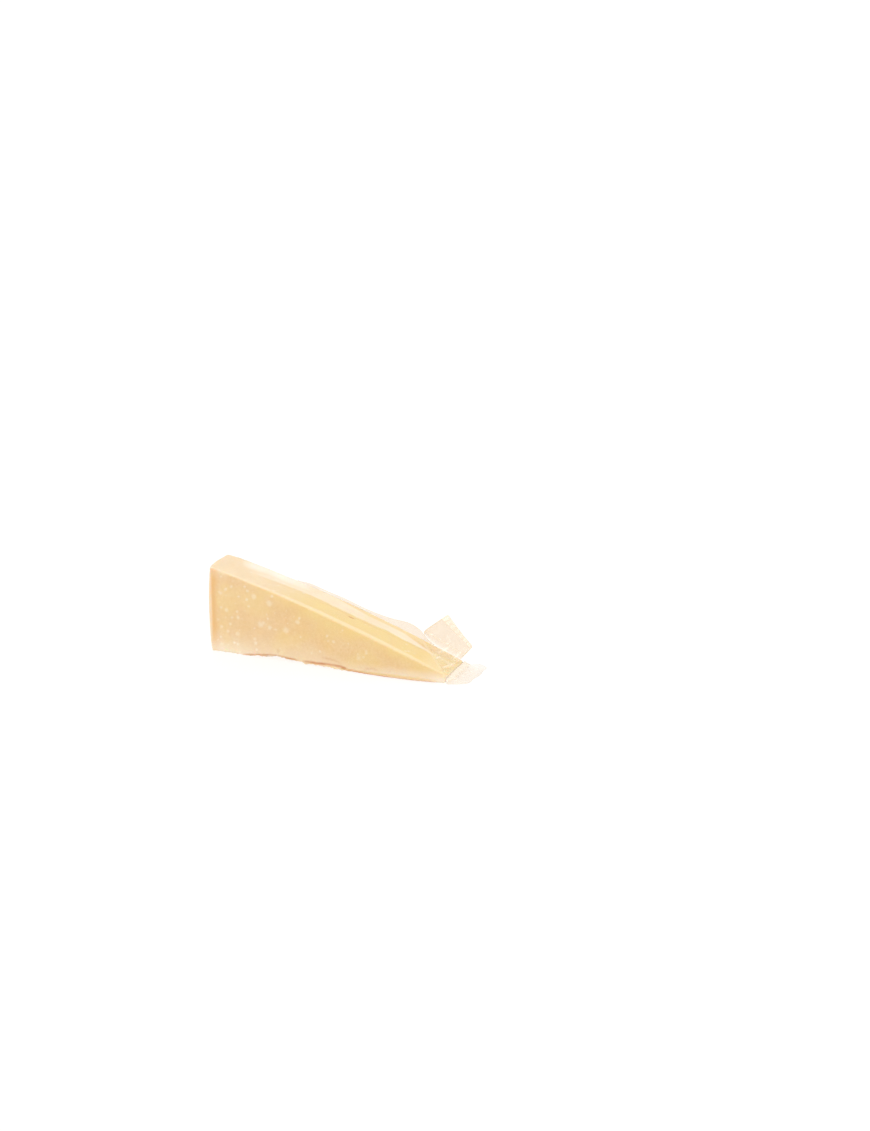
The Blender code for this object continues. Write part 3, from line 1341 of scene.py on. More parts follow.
    def mark(self, piece: bpy.types.Object) -> None:
        """Store where each zone of the look is, for the material to read.

        Args:
            piece: The finished mesh.
        """
        places, outward = coordinates(piece), normals(piece)
        spots = (places - np.array(self.form.corner)) / MM
        aloft = smooth_step(*self.faces_up, outward[:, Way.UP])
        skin = smooth_step(*self.faces_rind, -outward[:, Way.ALONG])
        depth = self.depth_from_rind(places)
        low, high = self.rind_border
        rind = 1 - smooth_step(self.rind_depth * low, self.rind_depth * high, depth)
        margin = self.margin_fading * (1 - smooth_step(*self.rind_margin, depth))
        crystal = self.crystal_shares(places)
        haze_and_painted_light = self.haziness_and_painted_light(spots, outward, places) * (1 - skin)
        zones = {
            "rind": rind * (1 - margin) * (1 - self.top_fading * aloft),
            "rind_skin": self.skin_shade * skin,
            "crystal": crystal * (1 - self.rind_crystal_fading * rind),
            "broken": self.broken_shade * self.brokenness(places),
            "oiled_and_painted_light": self.oiliness_and_painted_light(spots, aloft, places),
            "painted_shade_and_marks": self.shade_lines_and_marks(spots, places),
            "haze_and_painted_light": np.maximum(haze_and_painted_light, self.low_crystals.at(spots) * crystal),
        }
        for zone, shares in zones.items():
            write_attribute(piece, zone, shares)

    def depth_from_rind(self, places: np.ndarray) -> np.ndarray:
        """Return how far behind the bulged rind end each place lies.

        Args:
            places: The mesh's vertices.

        Returns:
            One distance for each vertex.
        """
        form = self.form
        away = places - np.array(form.corner)
        up = np.clip(away[:, Way.UP] / form.rind_height, 0, 1)
        across = np.clip(away[:, Way.ACROSS] / form.thickness, 0, 1)
        swing = np.array([form.reach(float(share)) for share in across])
        depth = away[:, Way.ALONG] + form.rind_bulge * 4 * up * (1 - up) + swing
        return depth + self.rind_wander.at(places)

    def crystal_shares(self, places: np.ndarray) -> np.ndarray:
        """Return how much crystal shows, from 0 to 1, at each place.

        Args:
            places: The mesh's vertices.

        Returns:
            One share for each vertex.
        """
        crystal = self.scatter(places, self.small_crystals)
        tree = self.tree(places)
        for one in self.crystals:
            near = self.form.at(one.x * MM, -self.form.front_bow, one.z * MM)
            peak = self.fine_peak if one.radius < self.wide_from else self.wide_peak
            peak -= self.tip_fading if one.x > self.tip_from else 0.0
            self.spot(tree, crystal, Vector(tree.find(near)[0]), one.radius * MM, peak)
        return crystal

    def oiliness_and_painted_light(
        self, spots: np.ndarray, aloft: np.ndarray, places: np.ndarray
    ) -> np.ndarray:
        """Return how much film lies wet on the cheese, which makes it yellower, and the
        painted light over the neck.

        Args:
            spots: The mesh's vertices, in millimetres from the corner.
            aloft: How much each one faces up.
            places: The same vertices in the frame.

        Returns:
            One share from 0 to 1 for each vertex.
        """
        top_edge = [self.form.top(float(x * MM)) / MM for x in spots[:, Way.ALONG]]
        drop = (np.array(top_edge) - spots[:, Way.UP]) / self.oiled_edge_depth
        front = self.oiled_edge.at(spots) * np.exp(-(drop ** 2))
        front += self.oiled_front * self.oiled_blotches.at(places)
        band = self.oiled_band.at(spots) * self.oiled_uneven.at(places)
        top = self.oiled_least + band + self.oiled_back.at(spots)
        top = np.maximum(top, self.painted_neck_light.at(spots))
        return np.clip(aloft * top + (1 - aloft) * front, 0, 1)

    def shade_lines_and_marks(self, spots: np.ndarray, places: np.ndarray) -> np.ndarray:
        """Return the painted shade under the chipped edge, along the foot and along the
        seam's crease, and two brown specks.

        Args:
            spots: The mesh's vertices, in millimetres from the corner.
            places: The same vertices in the frame.

        Returns:
            One share from 0 to 1 for each vertex.
        """
        patchy = (1 - self.trace_least) * self.trace_blotches.at(places)
        patchy += self.trace_least
        lines = strongest(self.painted_shade_lines, spots) * patchy * self.front_only.at(spots)
        line = np.interp(spots[:, Way.ALONG], self.seam_along, self.seam_across)
        near = np.exp(-(((spots[:, Way.ACROSS] - line) / self.seam_width) ** 2))
        seam = self.seam.at(spots) * near * (spots[:, Way.UP] > self.seam_above)
        return np.maximum(np.maximum(lines, seam), strongest(self.specks, spots))

    def haziness_and_painted_light(
        self, spots: np.ndarray, outward: np.ndarray, places: np.ndarray
    ) -> np.ndarray:
        """Return how whitish the cheese is painted: film milkiness, painted light and a
        painted highlight.

        Args:
            spots: The mesh's vertices, in millimetres from the corner.
            outward: Their normals.
            places: The same vertices in the frame.

        Returns:
            One share from 0 to 1 for each vertex.
        """
        top = np.maximum(strongest(self.top_haze_and_painted_light, spots), self.stripe.at(spots, places))
        top = np.maximum(top, self.gathered(spots))
        # Painted light from the floor, paler low on the front
        x, z, foot = spots[:, Way.ALONG], spots[:, Way.UP], self.painted_floor_light_from
        height = np.interp(x, self.painted_floor_light_along, self.painted_floor_light_top)
        low = self.painted_floor_light * (1 - smooth_step(0, 1, (z - foot) / (height - foot)))
        low += added(self.painted_low_light, spots)
        front = np.maximum(low, strongest(self.painted_rim_light, spots))
        tip = self.painted_tip_light * smooth_step(*self.tip_turn, outward[:, Way.ALONG])
        aloft = smooth_step(*self.faces_up, outward[:, Way.UP])
        share = aloft * top + (1 - aloft) * np.maximum(front, tip)
        # A painted highlight along the rounded front top edge
        rounded = smooth_step(*self.edge_turn, outward[:, Way.UP])
        edge = rounded * added(self.painted_edge_highlight, spots)
        return np.clip(np.maximum(share * self.haze_uneven.at(places), edge), 0, 1)

    def gathered(self, spots: np.ndarray) -> np.ndarray:
        """Return the pale lines where gathered film touches the top by the tip, painted
        highlights of its pleats.

        Args:
            spots: One row for each spot, in millimetres from the corner.

        Returns:
            One share for each spot.
        """
        flat = spots[:, (Way.ALONG, Way.ACROSS)]
        total = np.zeros(len(spots))
        for first, last in self.neck_lines:
            start, way = np.array(first), np.array(last) - np.array(first)
            away = flat - start
            share = np.clip(away @ way / (way @ way), 0, 1)
            distance = np.linalg.norm(away - share[:, None] * way, axis=1)
            near = np.exp(-((distance / self.neck_line_width) ** 2))
            total = np.maximum(total, self.painted_neck_line_highlight * near)
        return total


# The film


@dataclass(frozen=True)
class Pleat:
    """A straight wrinkle in the film, from one place to another on the wedge."""

    start: tuple[float, float, float]
    end: tuple[float, float, float]
    height: float
    width: float

    def rise(self, places: np.ndarray) -> np.ndarray:
        """Return how high the wrinkle stands at each place, lower towards its ends.

        Args:
            places: The mesh's vertices, counted from the corner.

        Returns:
            One height for each vertex.
        """
        start, way = np.array(self.start), np.array(self.end) - np.array(self.start)
        share = np.clip((places - start) @ way / (way @ way), 0, 1)
        distance = np.linalg.norm(places - start - share[:, None] * way, axis=1)
        taper = np.sin(math.pi * np.clip(0.08 + 0.84 * share, 0, 1))
        return self.height * taper * np.exp(-((distance / self.width) ** 2))


@dataclass
class FilmSkin:
    """The film that is shrunk on the wedge, with its seam's ridge and its pleats."""

    form: WedgeForm
    finish: VacuumFilm
    inset: float = 0.05 * MM
    voxel: float = 1.2 * MM
    smoothing: int = 3
    ridge_height: float = 0.4 * MM
    ridge_width: float = 0.8 * MM
    ridge_sway: float = 0.5 * MM
    ridge_sway_length: float = 7 * MM
    ridge_start: float = 20 * MM
    ridge_end: float = 8 * MM
    ridge_path: tuple[tuple[float, float], ...] = (
        (58 * MM, 16 * MM),
        (100 * MM, 18.5 * MM),
        (134 * MM, 20.8 * MM),
        (156 * MM, 20.5 * MM),
        (183 * MM, 21.5 * MM),
    )
    # Pleats into the neck, each by two places along and across, in millimetres
    neck_pleats: tuple[tuple[float, float, float, float], ...] = (
        (136, 11, 170, 9), (158, 12, 192, 10),
    )
    neck_pleat_height: float = 0.12 * MM
    neck_pleat_width: float = 0.8 * MM
    # The pleat over the tip, from near it to far from it
    tip_pleat_near: float = 3 * MM
    tip_pleat_far: float = 34 * MM
    tip_pleat_height: float = 0.15 * MM
    # Short wrinkles, with their least and further half length and height in millimetres
    wrinkles: int = 60
    wrinkle_reach: tuple[float, float] = (4, 9)
    wrinkle_height: tuple[float, float] = (0.12, 0.22)
    wrinkle_width: float = 0.9 * MM
    wrinkle_floor: float = 3 * MM
    wrinkle_edge_turn: float = 0.86
    wrinkle_face_turn: float = 0.9
    wrinkle_face_chance: float = 0.35
    seed: int = 23
    # How milky and how white the raised film is
    full_height: float = 0.6 * MM
    milky: float = 0.12
    white_least: float = 0.4

    def build(self) -> bpy.types.Object:
        """Model and dress the tight film.

        Returns:
            The piece film_skin.
        """
        piece = self.form.block("film_skin", self.inset)
        apply_modifier(piece, "REMESH", mode="VOXEL", voxel_size=self.voxel)
        apply_modifier(piece, "SMOOTH", factor=0.5, iterations=self.smoothing)
        self.pleat(piece)
        dress(piece, self.finish.make())
        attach(piece, "root")
        piece.visible_shadow = False
        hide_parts("parmesan_wedge")
        return piece

    def named_pleats(self) -> list[Pleat]:
        """Return the long fine pleats that run into the neck and over the tip.

        Returns:
            The pleats.
        """
        top = self.form.top
        pleats = []
        for near, y_near, far, y_far in self.neck_pleats:
            start = (near * MM, y_near * MM, top(near * MM))
            end = (far * MM, y_far * MM, top(far * MM))
            size = self.neck_pleat_height, self.neck_pleat_width
            pleats.append(Pleat(start, end, *size))
        tip = self.form.length
        z = self.form.tip_height * 0.6
        start = (tip - self.tip_pleat_near, 0.0, z)
        end = (tip - self.tip_pleat_far, 0.0, z * 1.8)
        pleats.append(Pleat(start, end, self.tip_pleat_height, self.wrinkle_width))
        return pleats

    def scattered_pleats(self, places: np.ndarray, outward: np.ndarray) -> list[Pleat]:
        """Return short fine wrinkles across the edges and the ends.

        Args:
            places: The mesh's vertices, counted from the corner.
            outward: Their normals.

        Returns:
            The wrinkles.
        """
        draw = np.random.default_rng(self.seed)
        edges = np.abs(outward).max(axis=1) < self.wrinkle_edge_turn
        back = outward[:, Way.ACROSS] > self.wrinkle_face_turn
        rind = outward[:, Way.ALONG] < -self.wrinkle_face_turn
        chance = edges * 1.0 + (back | rind) * self.wrinkle_face_chance
        chance[places[:, Way.UP] < self.wrinkle_floor] = 0
        picked = draw.choice(len(places), size=self.wrinkles, p=chance / chance.sum())
        (least, more), (low, higher) = self.wrinkle_reach, self.wrinkle_height
        pleats = []
        for index in picked:
            reach = (least + more * draw.random()) * MM
            way = draw.normal(size=3)
            way -= outward[index] * way.dot(outward[index])
            way *= reach / np.linalg.norm(way)
            start, end = places[index] - way, places[index] + way
            height = (low + higher * draw.random()) * MM
            pleats.append(Pleat(tuple(start), tuple(end), height, self.wrinkle_width))
        return pleats

    def pleat(self, piece: bpy.types.Object) -> None:
        """Raise the pleats along the film's normals and store its lift and its
        whiteness.

        Args:
            piece: The smooth film.
        """
        corner = np.array(self.form.corner)
        places, outward = coordinates(piece) - corner, normals(piece)
        raised = self.ridge(places, outward)
        for fold in self.named_pleats() + self.scattered_pleats(places, outward):
            raised = np.maximum(raised, fold.rise(places))
        places += outward * raised[:, None]
        places[:, Way.UP] = np.maximum(places[:, Way.UP], 0)
        move_vertices(piece, places + corner)
        share = np.clip(raised / self.full_height, 0, 1)
        white = self.white_least + (1 - self.white_least) * share
        write_attribute(piece, "lift", self.milky * share)
        write_attribute(piece, "whiteness", white)

    def ridge(self, places: np.ndarray, outward: np.ndarray) -> np.ndarray:
        """Return how high the bag's seam stands along the top face.

        Args:
            places: The mesh's vertices, counted from the corner.
            outward: Their normals.

        Returns:
            One height for each vertex.
        """
        along, across = zip(*self.ridge_path)
        x = places[:, Way.ALONG]
        line = np.interp(x, along, across)
        line = line + self.ridge_sway * np.sin(x / self.ridge_sway_length)
        ends = smooth_step(along[0], along[0] + self.ridge_start, x)
        ends *= 1 - smooth_step(along[-1] - self.ridge_end, along[-1], x)
        rise = np.exp(-(((places[:, Way.ACROSS] - line) / self.ridge_width) ** 2))
        return self.ridge_height * rise * ends * (outward[:, Way.UP] > 0.6)


@dataclass
class FilmFin:
    """The bag's spare film, pinched along the back top edge and standing free of it."""

    form: WedgeForm
    finish: VacuumFilm
    start: float = 60 * MM
    end: float = 178 * MM
    root_turn: float = math.radians(62)
    sunk: float = 0.25 * MM
    lean: float = math.radians(45)
    narrow: float = 1.8 * MM
    wide: float = 7.2 * MM
    widest_at: float = 156 * MM
    spread: float = 16 * MM
    wave: float = 0.6 * MM
    wave_length: float = 31 * MM
    ripple: float = 0.25 * MM
    ripple_length: float = 6 * MM
    thickness: float = 0.25 * MM
    columns: int = 160
    rows: int = 14
    end_fade: float = 0.12
    end_width: float = 0.2
    # The free edge is whiter and milkier: a painted highlight along it
    rim: Ramp = (0.88, 1.0)
    milky: tuple[float, float] = (0.26, 0.3)
    white: tuple[float, float] = (0.1, 0.6)

    def build(self) -> bpy.types.Object:
        """Model and dress the fin.

        Returns:
            The piece film_back_fin.
        """
        piece = sheet_from_grid("film_back_fin", self.columns, self.rows, self.place)
        rim = smooth_step(*self.rim, grid_shares(self.columns, self.rows)[:, 1])
        for name, (least, more) in (("lift", self.milky), ("whiteness", self.white)):
            write_attribute(piece, name, least + more * rim)
        apply_modifier(piece, "SOLIDIFY", thickness=self.thickness, offset=0.0)
        dress(piece, self.finish.make())
        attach(piece, "root")
        piece.visible_shadow = False
        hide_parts("film_fin")
        return piece

    def width(self, x: float) -> float:
        """Return how far the fin stands off the back edge."""
        bump = math.exp(-(((x - self.widest_at) / self.spread) ** 2))
        return self.narrow + (self.wide - self.narrow) * bump

    def place(self, along: float, across: float) -> Vector:
        """Place a point of the fin.

        Args:
            along: Share of the way from the rind to the tip.
            across: Share of the way from the root to the free edge.

        Returns:
            The point in the frame.
        """
        x = self.start + (self.end - self.start) * along
        from_end = np.array(min(along, 1 - along) / self.end_fade)
        grown = smooth_step(0, 1, from_end).item()
        ends = self.end_width + (1 - self.end_width) * grown
        out = Vector((0.0, math.cos(self.lean), math.sin(self.lean)))
        side = Vector((0.0, -math.sin(self.lean), math.cos(self.lean)))
        form, radius = self.form, self.form.edge_radius
        root = Vector((0.0, math.cos(self.root_turn), math.sin(self.root_turn)))
        reach = (self.width(x) * ends + self.sunk) * across
        wave = self.wave * math.sin(TURN * x / self.wave_length) * across
        bumps = noise.noise(Vector((x / self.ripple_length, across * 2, 4)))
        ripple = self.ripple * bumps * across
        middle = form.at(x, form.thickness - radius, form.top(x) - radius)
        foot = middle + root * (radius - self.sunk)
        return foot + out * reach + side * (wave + ripple)


@dataclass
class SealTab:
    """The gathered neck over the tip and the heat-sealed tab that stands on it."""

    form: WedgeForm
    finish: VacuumFilm
    fold_left: tuple[float, float, float] = (174.2 * MM, 26.5 * MM, 31.6 * MM)
    fold_right: tuple[float, float, float] = (204.6 * MM, 37.0 * MM, 12.6 * MM)
    seal_left: tuple[float, float, float] = (185.4 * MM, 47.2 * MM, 39.7 * MM)
    seal_right: tuple[float, float, float] = (207.3 * MM, 45.1 * MM, 16.6 * MM)
    foot_path: tuple[tuple[float, float], ...] = (
        (170.0 * MM, 36.0 * MM),
        (183.0 * MM, 23.0 * MM),
        (192.5 * MM, 11.0 * MM),
        (202.6 * MM, 2.0 * MM),
    )
    neck_share: float = 0.45
    soft_fold: float = 0.09
    seal_width: float = 7.0 * MM
    crimp_pitch: float = 4.6 * MM
    crimp_depth: float = 0.22 * MM
    crimp_border: Ramp = (-0.5, 0.3)
    corner_radius: float = 2.6 * MM
    pleat_depth: float = 1.0 * MM
    wide_pleats: float = 3.6
    fine_pleats: float = 8.3
    foot_gap: float = 0.45 * MM
    sag: float = 2.2 * MM
    belly: float = 0.9 * MM
    curl: float = 0.9 * MM
    # Soft creases: depth, slant, place across and width, the last three as shares
    creases: tuple[tuple[float, float, float, float], ...] = (
        (0.6 * MM, 0.5, 0.55, 0.06), (0.4 * MM, -0.3, 0.75, 0.05),
    )
    pouch: float = 1.7 * MM
    wall: float = 0.25 * MM
    # Where the pleats have crests, and where they end, in shares of the neck
    crest: Ramp = (0.7, 1.3)
    pleat_end: Ramp = (0.75, 1.25)
    # How milky the film is; the seal's two values are between and on its crimps. Its
    # milkier sides and pleat crests are painted highlights
    neck_milky: float = 0.12
    neck_milky_border: Ramp = (-0.42, -0.12)
    tab_milky: float = 0.33
    painted_side_highlight_milky: float = 0.3
    fold_milky: float = 0.2
    painted_pleat_highlight_milky: float = 0.17
    end_milky: float = 0.15
    seal_milky: tuple[float, float] = (0.22, 0.08)
    # How white it is; the whiter pleat crests are painted highlights
    least_white: float = 0.1
    neck_white: float = 0.45
    neck_white_border: Ramp = (-0.3, 0.0)
    fold_white: float = 0.5
    painted_pleat_highlight_white: float = 0.8
    seal_white: tuple[float, float] = (0.5, 0.2)
    rows_across: int = 150
    rows_up: int = 170

    def build(self) -> bpy.types.Object:
        """Model and dress the neck and the tab.

        Returns:
            The piece film_seal_tab.
        """
        rows = self.rows_across, self.rows_up
        piece = sheet_from_grid("film_seal_tab", *rows, self.place)
        shares = grid_shares(*rows)
        weigh(piece, "open", self.openness(shares))
        write_attribute(piece, "lift", self.milkiness(shares))
        write_attribute(piece, "whiteness", self.whitening(shares))
        apply_modifier(piece, "SOLIDIFY", thickness=self.pouch, offset=0.0,
                       vertex_group="open",
                       thickness_vertex_group=self.wall / self.pouch)
        piece.vertex_groups.clear()
        dress(piece, self.finish.make())
        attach(piece, "root")
        piece.visible_shadow = False
        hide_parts("film_tab")
        return piece

    def seal_length(self) -> float:
        """Return the length of the sealed edge."""
        return (Vector(self.seal_right) - Vector(self.seal_left)).length

    def tab_height(self) -> float:
        """Return how far the sealed edge is from the fold, at the left."""
        return (Vector(self.seal_left) - Vector(self.fold_left)).length

    def tab_share(self, shares: np.ndarray) -> np.ndarray:
        """Return each vertex's share of the way from the fold to the sealed edge."""
        return (shares[:, 1] - self.neck_share) / (1 - self.neck_share)

    def seal_share(self) -> float:
        """Return the share of the tab's rise that the seal band takes."""
        return self.seal_width / self.tab_height()

    def openness(self, shares: np.ndarray) -> np.ndarray:
        """Return how far the two walls stand apart, from 0 to 1.

        Args:
            shares: Each vertex's shares across the bag and up it.

        Returns:
            One share for each vertex.
        """
        side = smooth_step(0, 0.2, np.minimum(shares[:, 0], 1 - shares[:, 0]))
        tab = self.tab_share(shares)
        seal = self.seal_share()
        end = 1 - smooth_step(0.9 - 1.5 * seal, 1 - seal, tab)
        return side * end * smooth_step(0.02, 0.4, tab)

    def folds(self, shares: np.ndarray) -> np.ndarray:
        """Return 1 on the crests of the neck's pleats and 0 between them.

        Args:
            shares: Each vertex's shares across the bag and up it.

        Returns:
            One share for each vertex.
        """
        across, rise = shares[:, 0], shares[:, 1] / self.neck_share
        fan = np.array([self.pleating(float(u), float(v))
                        for u, v in zip(across, rise)])
        return smooth_step(*self.crest, fan) * (1 - smooth_step(*self.pleat_end, rise))

    def sealed(self, shares: np.ndarray) -> np.ndarray:
        """Return 1 in the seal band and 0 below it."""
        band = 1 - self.seal_share()
        return smooth_step(band - 0.02, band + 0.03, self.tab_share(shares))

    def bars(self, shares: np.ndarray) -> np.ndarray:
        """Return 1 on the seal's crimps and 0 between them."""
        turns = shares[:, 0] * self.seal_length() / self.crimp_pitch
        return smooth_step(*self.crimp_border, np.sin(TURN * turns))

    def milkiness(self, shares: np.ndarray) -> np.ndarray:
        """Return how milky the film is, from 0 to 1.

        Args:
            shares: Each vertex's shares across the bag and up it.

        Returns:
            One share for each vertex.
        """
        tab = self.tab_share(shares)
        side = 1 - smooth_step(0, 0.03, np.minimum(shares[:, 0], 1 - shares[:, 0]))
        past = smooth_step(*self.neck_milky_border, tab)
        free = self.neck_milky + (1 - self.neck_milky) * past
        lines = self.painted_side_highlight_milky * side + self.fold_milky * self.crease(tab)
        between, more = self.seal_milky
        total = free * (self.tab_milky + lines) + self.painted_pleat_highlight_milky * self.folds(shares)
        total += self.sealed(shares) * (between + more * self.bars(shares))
        total += self.end_milky * smooth_step(0.96, 1.0, tab)
        return np.clip(total, 0, 1)

    def whitening(self, shares: np.ndarray) -> np.ndarray:
        """Return how white the film is: at the seal, the fold and the pleats, whose
        white crests are painted highlights.

        Args:
            shares: Each vertex's shares across the bag and up it.

        Returns:
            One share for each vertex.
        """
        tab = self.tab_share(shares)
        between, more = self.seal_white
        seal = self.sealed(shares) * (between + more * self.bars(shares))
        neck = self.neck_white * (1 - smooth_step(*self.neck_white_border, tab))
        lines = self.fold_white * self.crease(tab)
        lines += self.painted_pleat_highlight_white * self.folds(shares)
        return np.clip(seal + np.maximum(lines, neck) + self.least_white, 0, 1)

    @staticmethod
    def crease(tab: np.ndarray) -> np.ndarray:
        """Return 1 along the fold and 0 away from it."""
        return np.exp(-((tab / 0.035) ** 2))

    def foot(self, along: float) -> Vector:
        """Return where the film leaves the cheese, from the back edge to the tip.

        Args:
            along: Share of the way across the bag.

        Returns:
            The point, counted from the wedge's corner.
        """
        steps = np.linspace(0, 1, len(self.foot_path))
        x, y = (float(np.interp(along, steps, line)) for line in zip(*self.foot_path))
        return Vector((x, y, self.form.top(x) + self.foot_gap))

    def pleating(self, along: float, share: float) -> float:
        """Return the neck's pleats, in units of their depth.

        Args:
            along: Share of the way across the bag.
            share: Share of the way from the cheese to the fold.

        Returns:
            The pleats' height, from about -1.5 to 1.5.
        """
        fan = along + 0.10 * math.sin(3.1 * along + 2.2 * share)
        wide = math.sin(TURN * (self.wide_pleats * fan + 0.45 * share))
        fine = math.sin(TURN * (self.fine_pleats * fan - 0.6 * share + 0.2))
        return wide + 0.5 * fine

    def place(self, along: float, rise: float) -> Vector:
        """Place a point of the neck or the tab.

        Args:
            along: Share of the way across the bag.
            rise: Share of the way from the cheese to the sealed edge.

        Returns:
            The point in the frame.
        """
        inset = self.rounding(along, rise)
        across = Vector(self.fold_right) - Vector(self.fold_left)
        up = Vector(self.seal_left) - Vector(self.fold_left)
        facing = across.cross(up).normalized()
        foot = self.foot(along)
        fold = Vector(self.fold_left).lerp(Vector(self.fold_right), along)
        seal = Vector(self.seal_left).lerp(Vector(self.seal_right), inset)
        low = self.neck_share - self.soft_fold
        high = self.neck_share + self.soft_fold
        before = foot.lerp(fold, low / self.neck_share)
        after = fold.lerp(seal, self.soft_fold / (1 - self.neck_share))
        if rise < low:
            point = foot.lerp(before, rise / low)
        elif rise > high:
            point = after.lerp(seal, (rise - high) / (1 - high))
        else:
            share = (rise - low) / (high - low)
            point = before.lerp(fold, share).lerp(fold.lerp(after, share), share)
        share = min(1.0, rise / self.neck_share)
        swell = math.sin(math.pi * min(1.0, rise / (self.neck_share * 1.3))) ** 0.8
        middle = math.sin(math.pi * along) ** 0.5
        depth = self.pleat_depth * 0.5 * self.pleating(along, share) * swell * middle
        sag = self.sag * math.sin(math.pi * share) * math.sin(math.pi * along)
        past = max(0.0, (rise - self.neck_share) / (1 - self.neck_share))
        out = depth + self.relief(along, past)
        point = point + facing * out - Vector((0, 0, sag))
        return self.form.corner + point

    def rounding(self, along: float, rise: float) -> float:
        """Return the share across, drawn in at the sealed edge's round corners.

        Args:
            along: Share of the way across the bag.
            rise: Share of the way from the cheese to the sealed edge.

        Returns:
            The share that is drawn in.
        """
        from_end = (1 - rise) / (1 - self.neck_share) * self.tab_height()
        if from_end >= self.corner_radius:
            return along
        fall = 1 - from_end / self.corner_radius
        drawn = self.corner_radius * (1 - math.sqrt(max(0.0, 1 - fall * fall)))
        drawn /= self.seal_length()
        return 0.3 * drawn + (1 - 1.3 * drawn) * along

    def relief(self, along: float, share: float) -> float:
        """Return the tab's own relief: a belly, soft creases, a curl and the crimps.

        Args:
            along: Share of the way across the bag.
            share: Share of the way from the fold to the sealed edge.

        Returns:
            How far a point stands off the tab's plane.
        """
        belly = self.belly * math.sin(math.pi * share) * math.sin(math.pi * along)
        crease = sum(depth * math.exp(-(((along + share * slant - place) / width) ** 2))
                     for depth, slant, place, width in self.creases)
        crease *= (1 - share) * min(1.0, share * 8)
        curl = self.curl * share * (2 * along - 1) ** 2
        from_edge = (1 - share) * self.tab_height()
        if from_edge > self.seal_width:
            return belly + crease + curl
        bars = math.sin(TURN * along * self.seal_length() / self.crimp_pitch)
        into_band = (self.seal_width - from_edge) / (1.2 * MM)
        inside = max(0.0, min(1.0, into_band, from_edge / (0.8 * MM)))
        return belly + crease + curl + self.crimp_depth * bars * inside


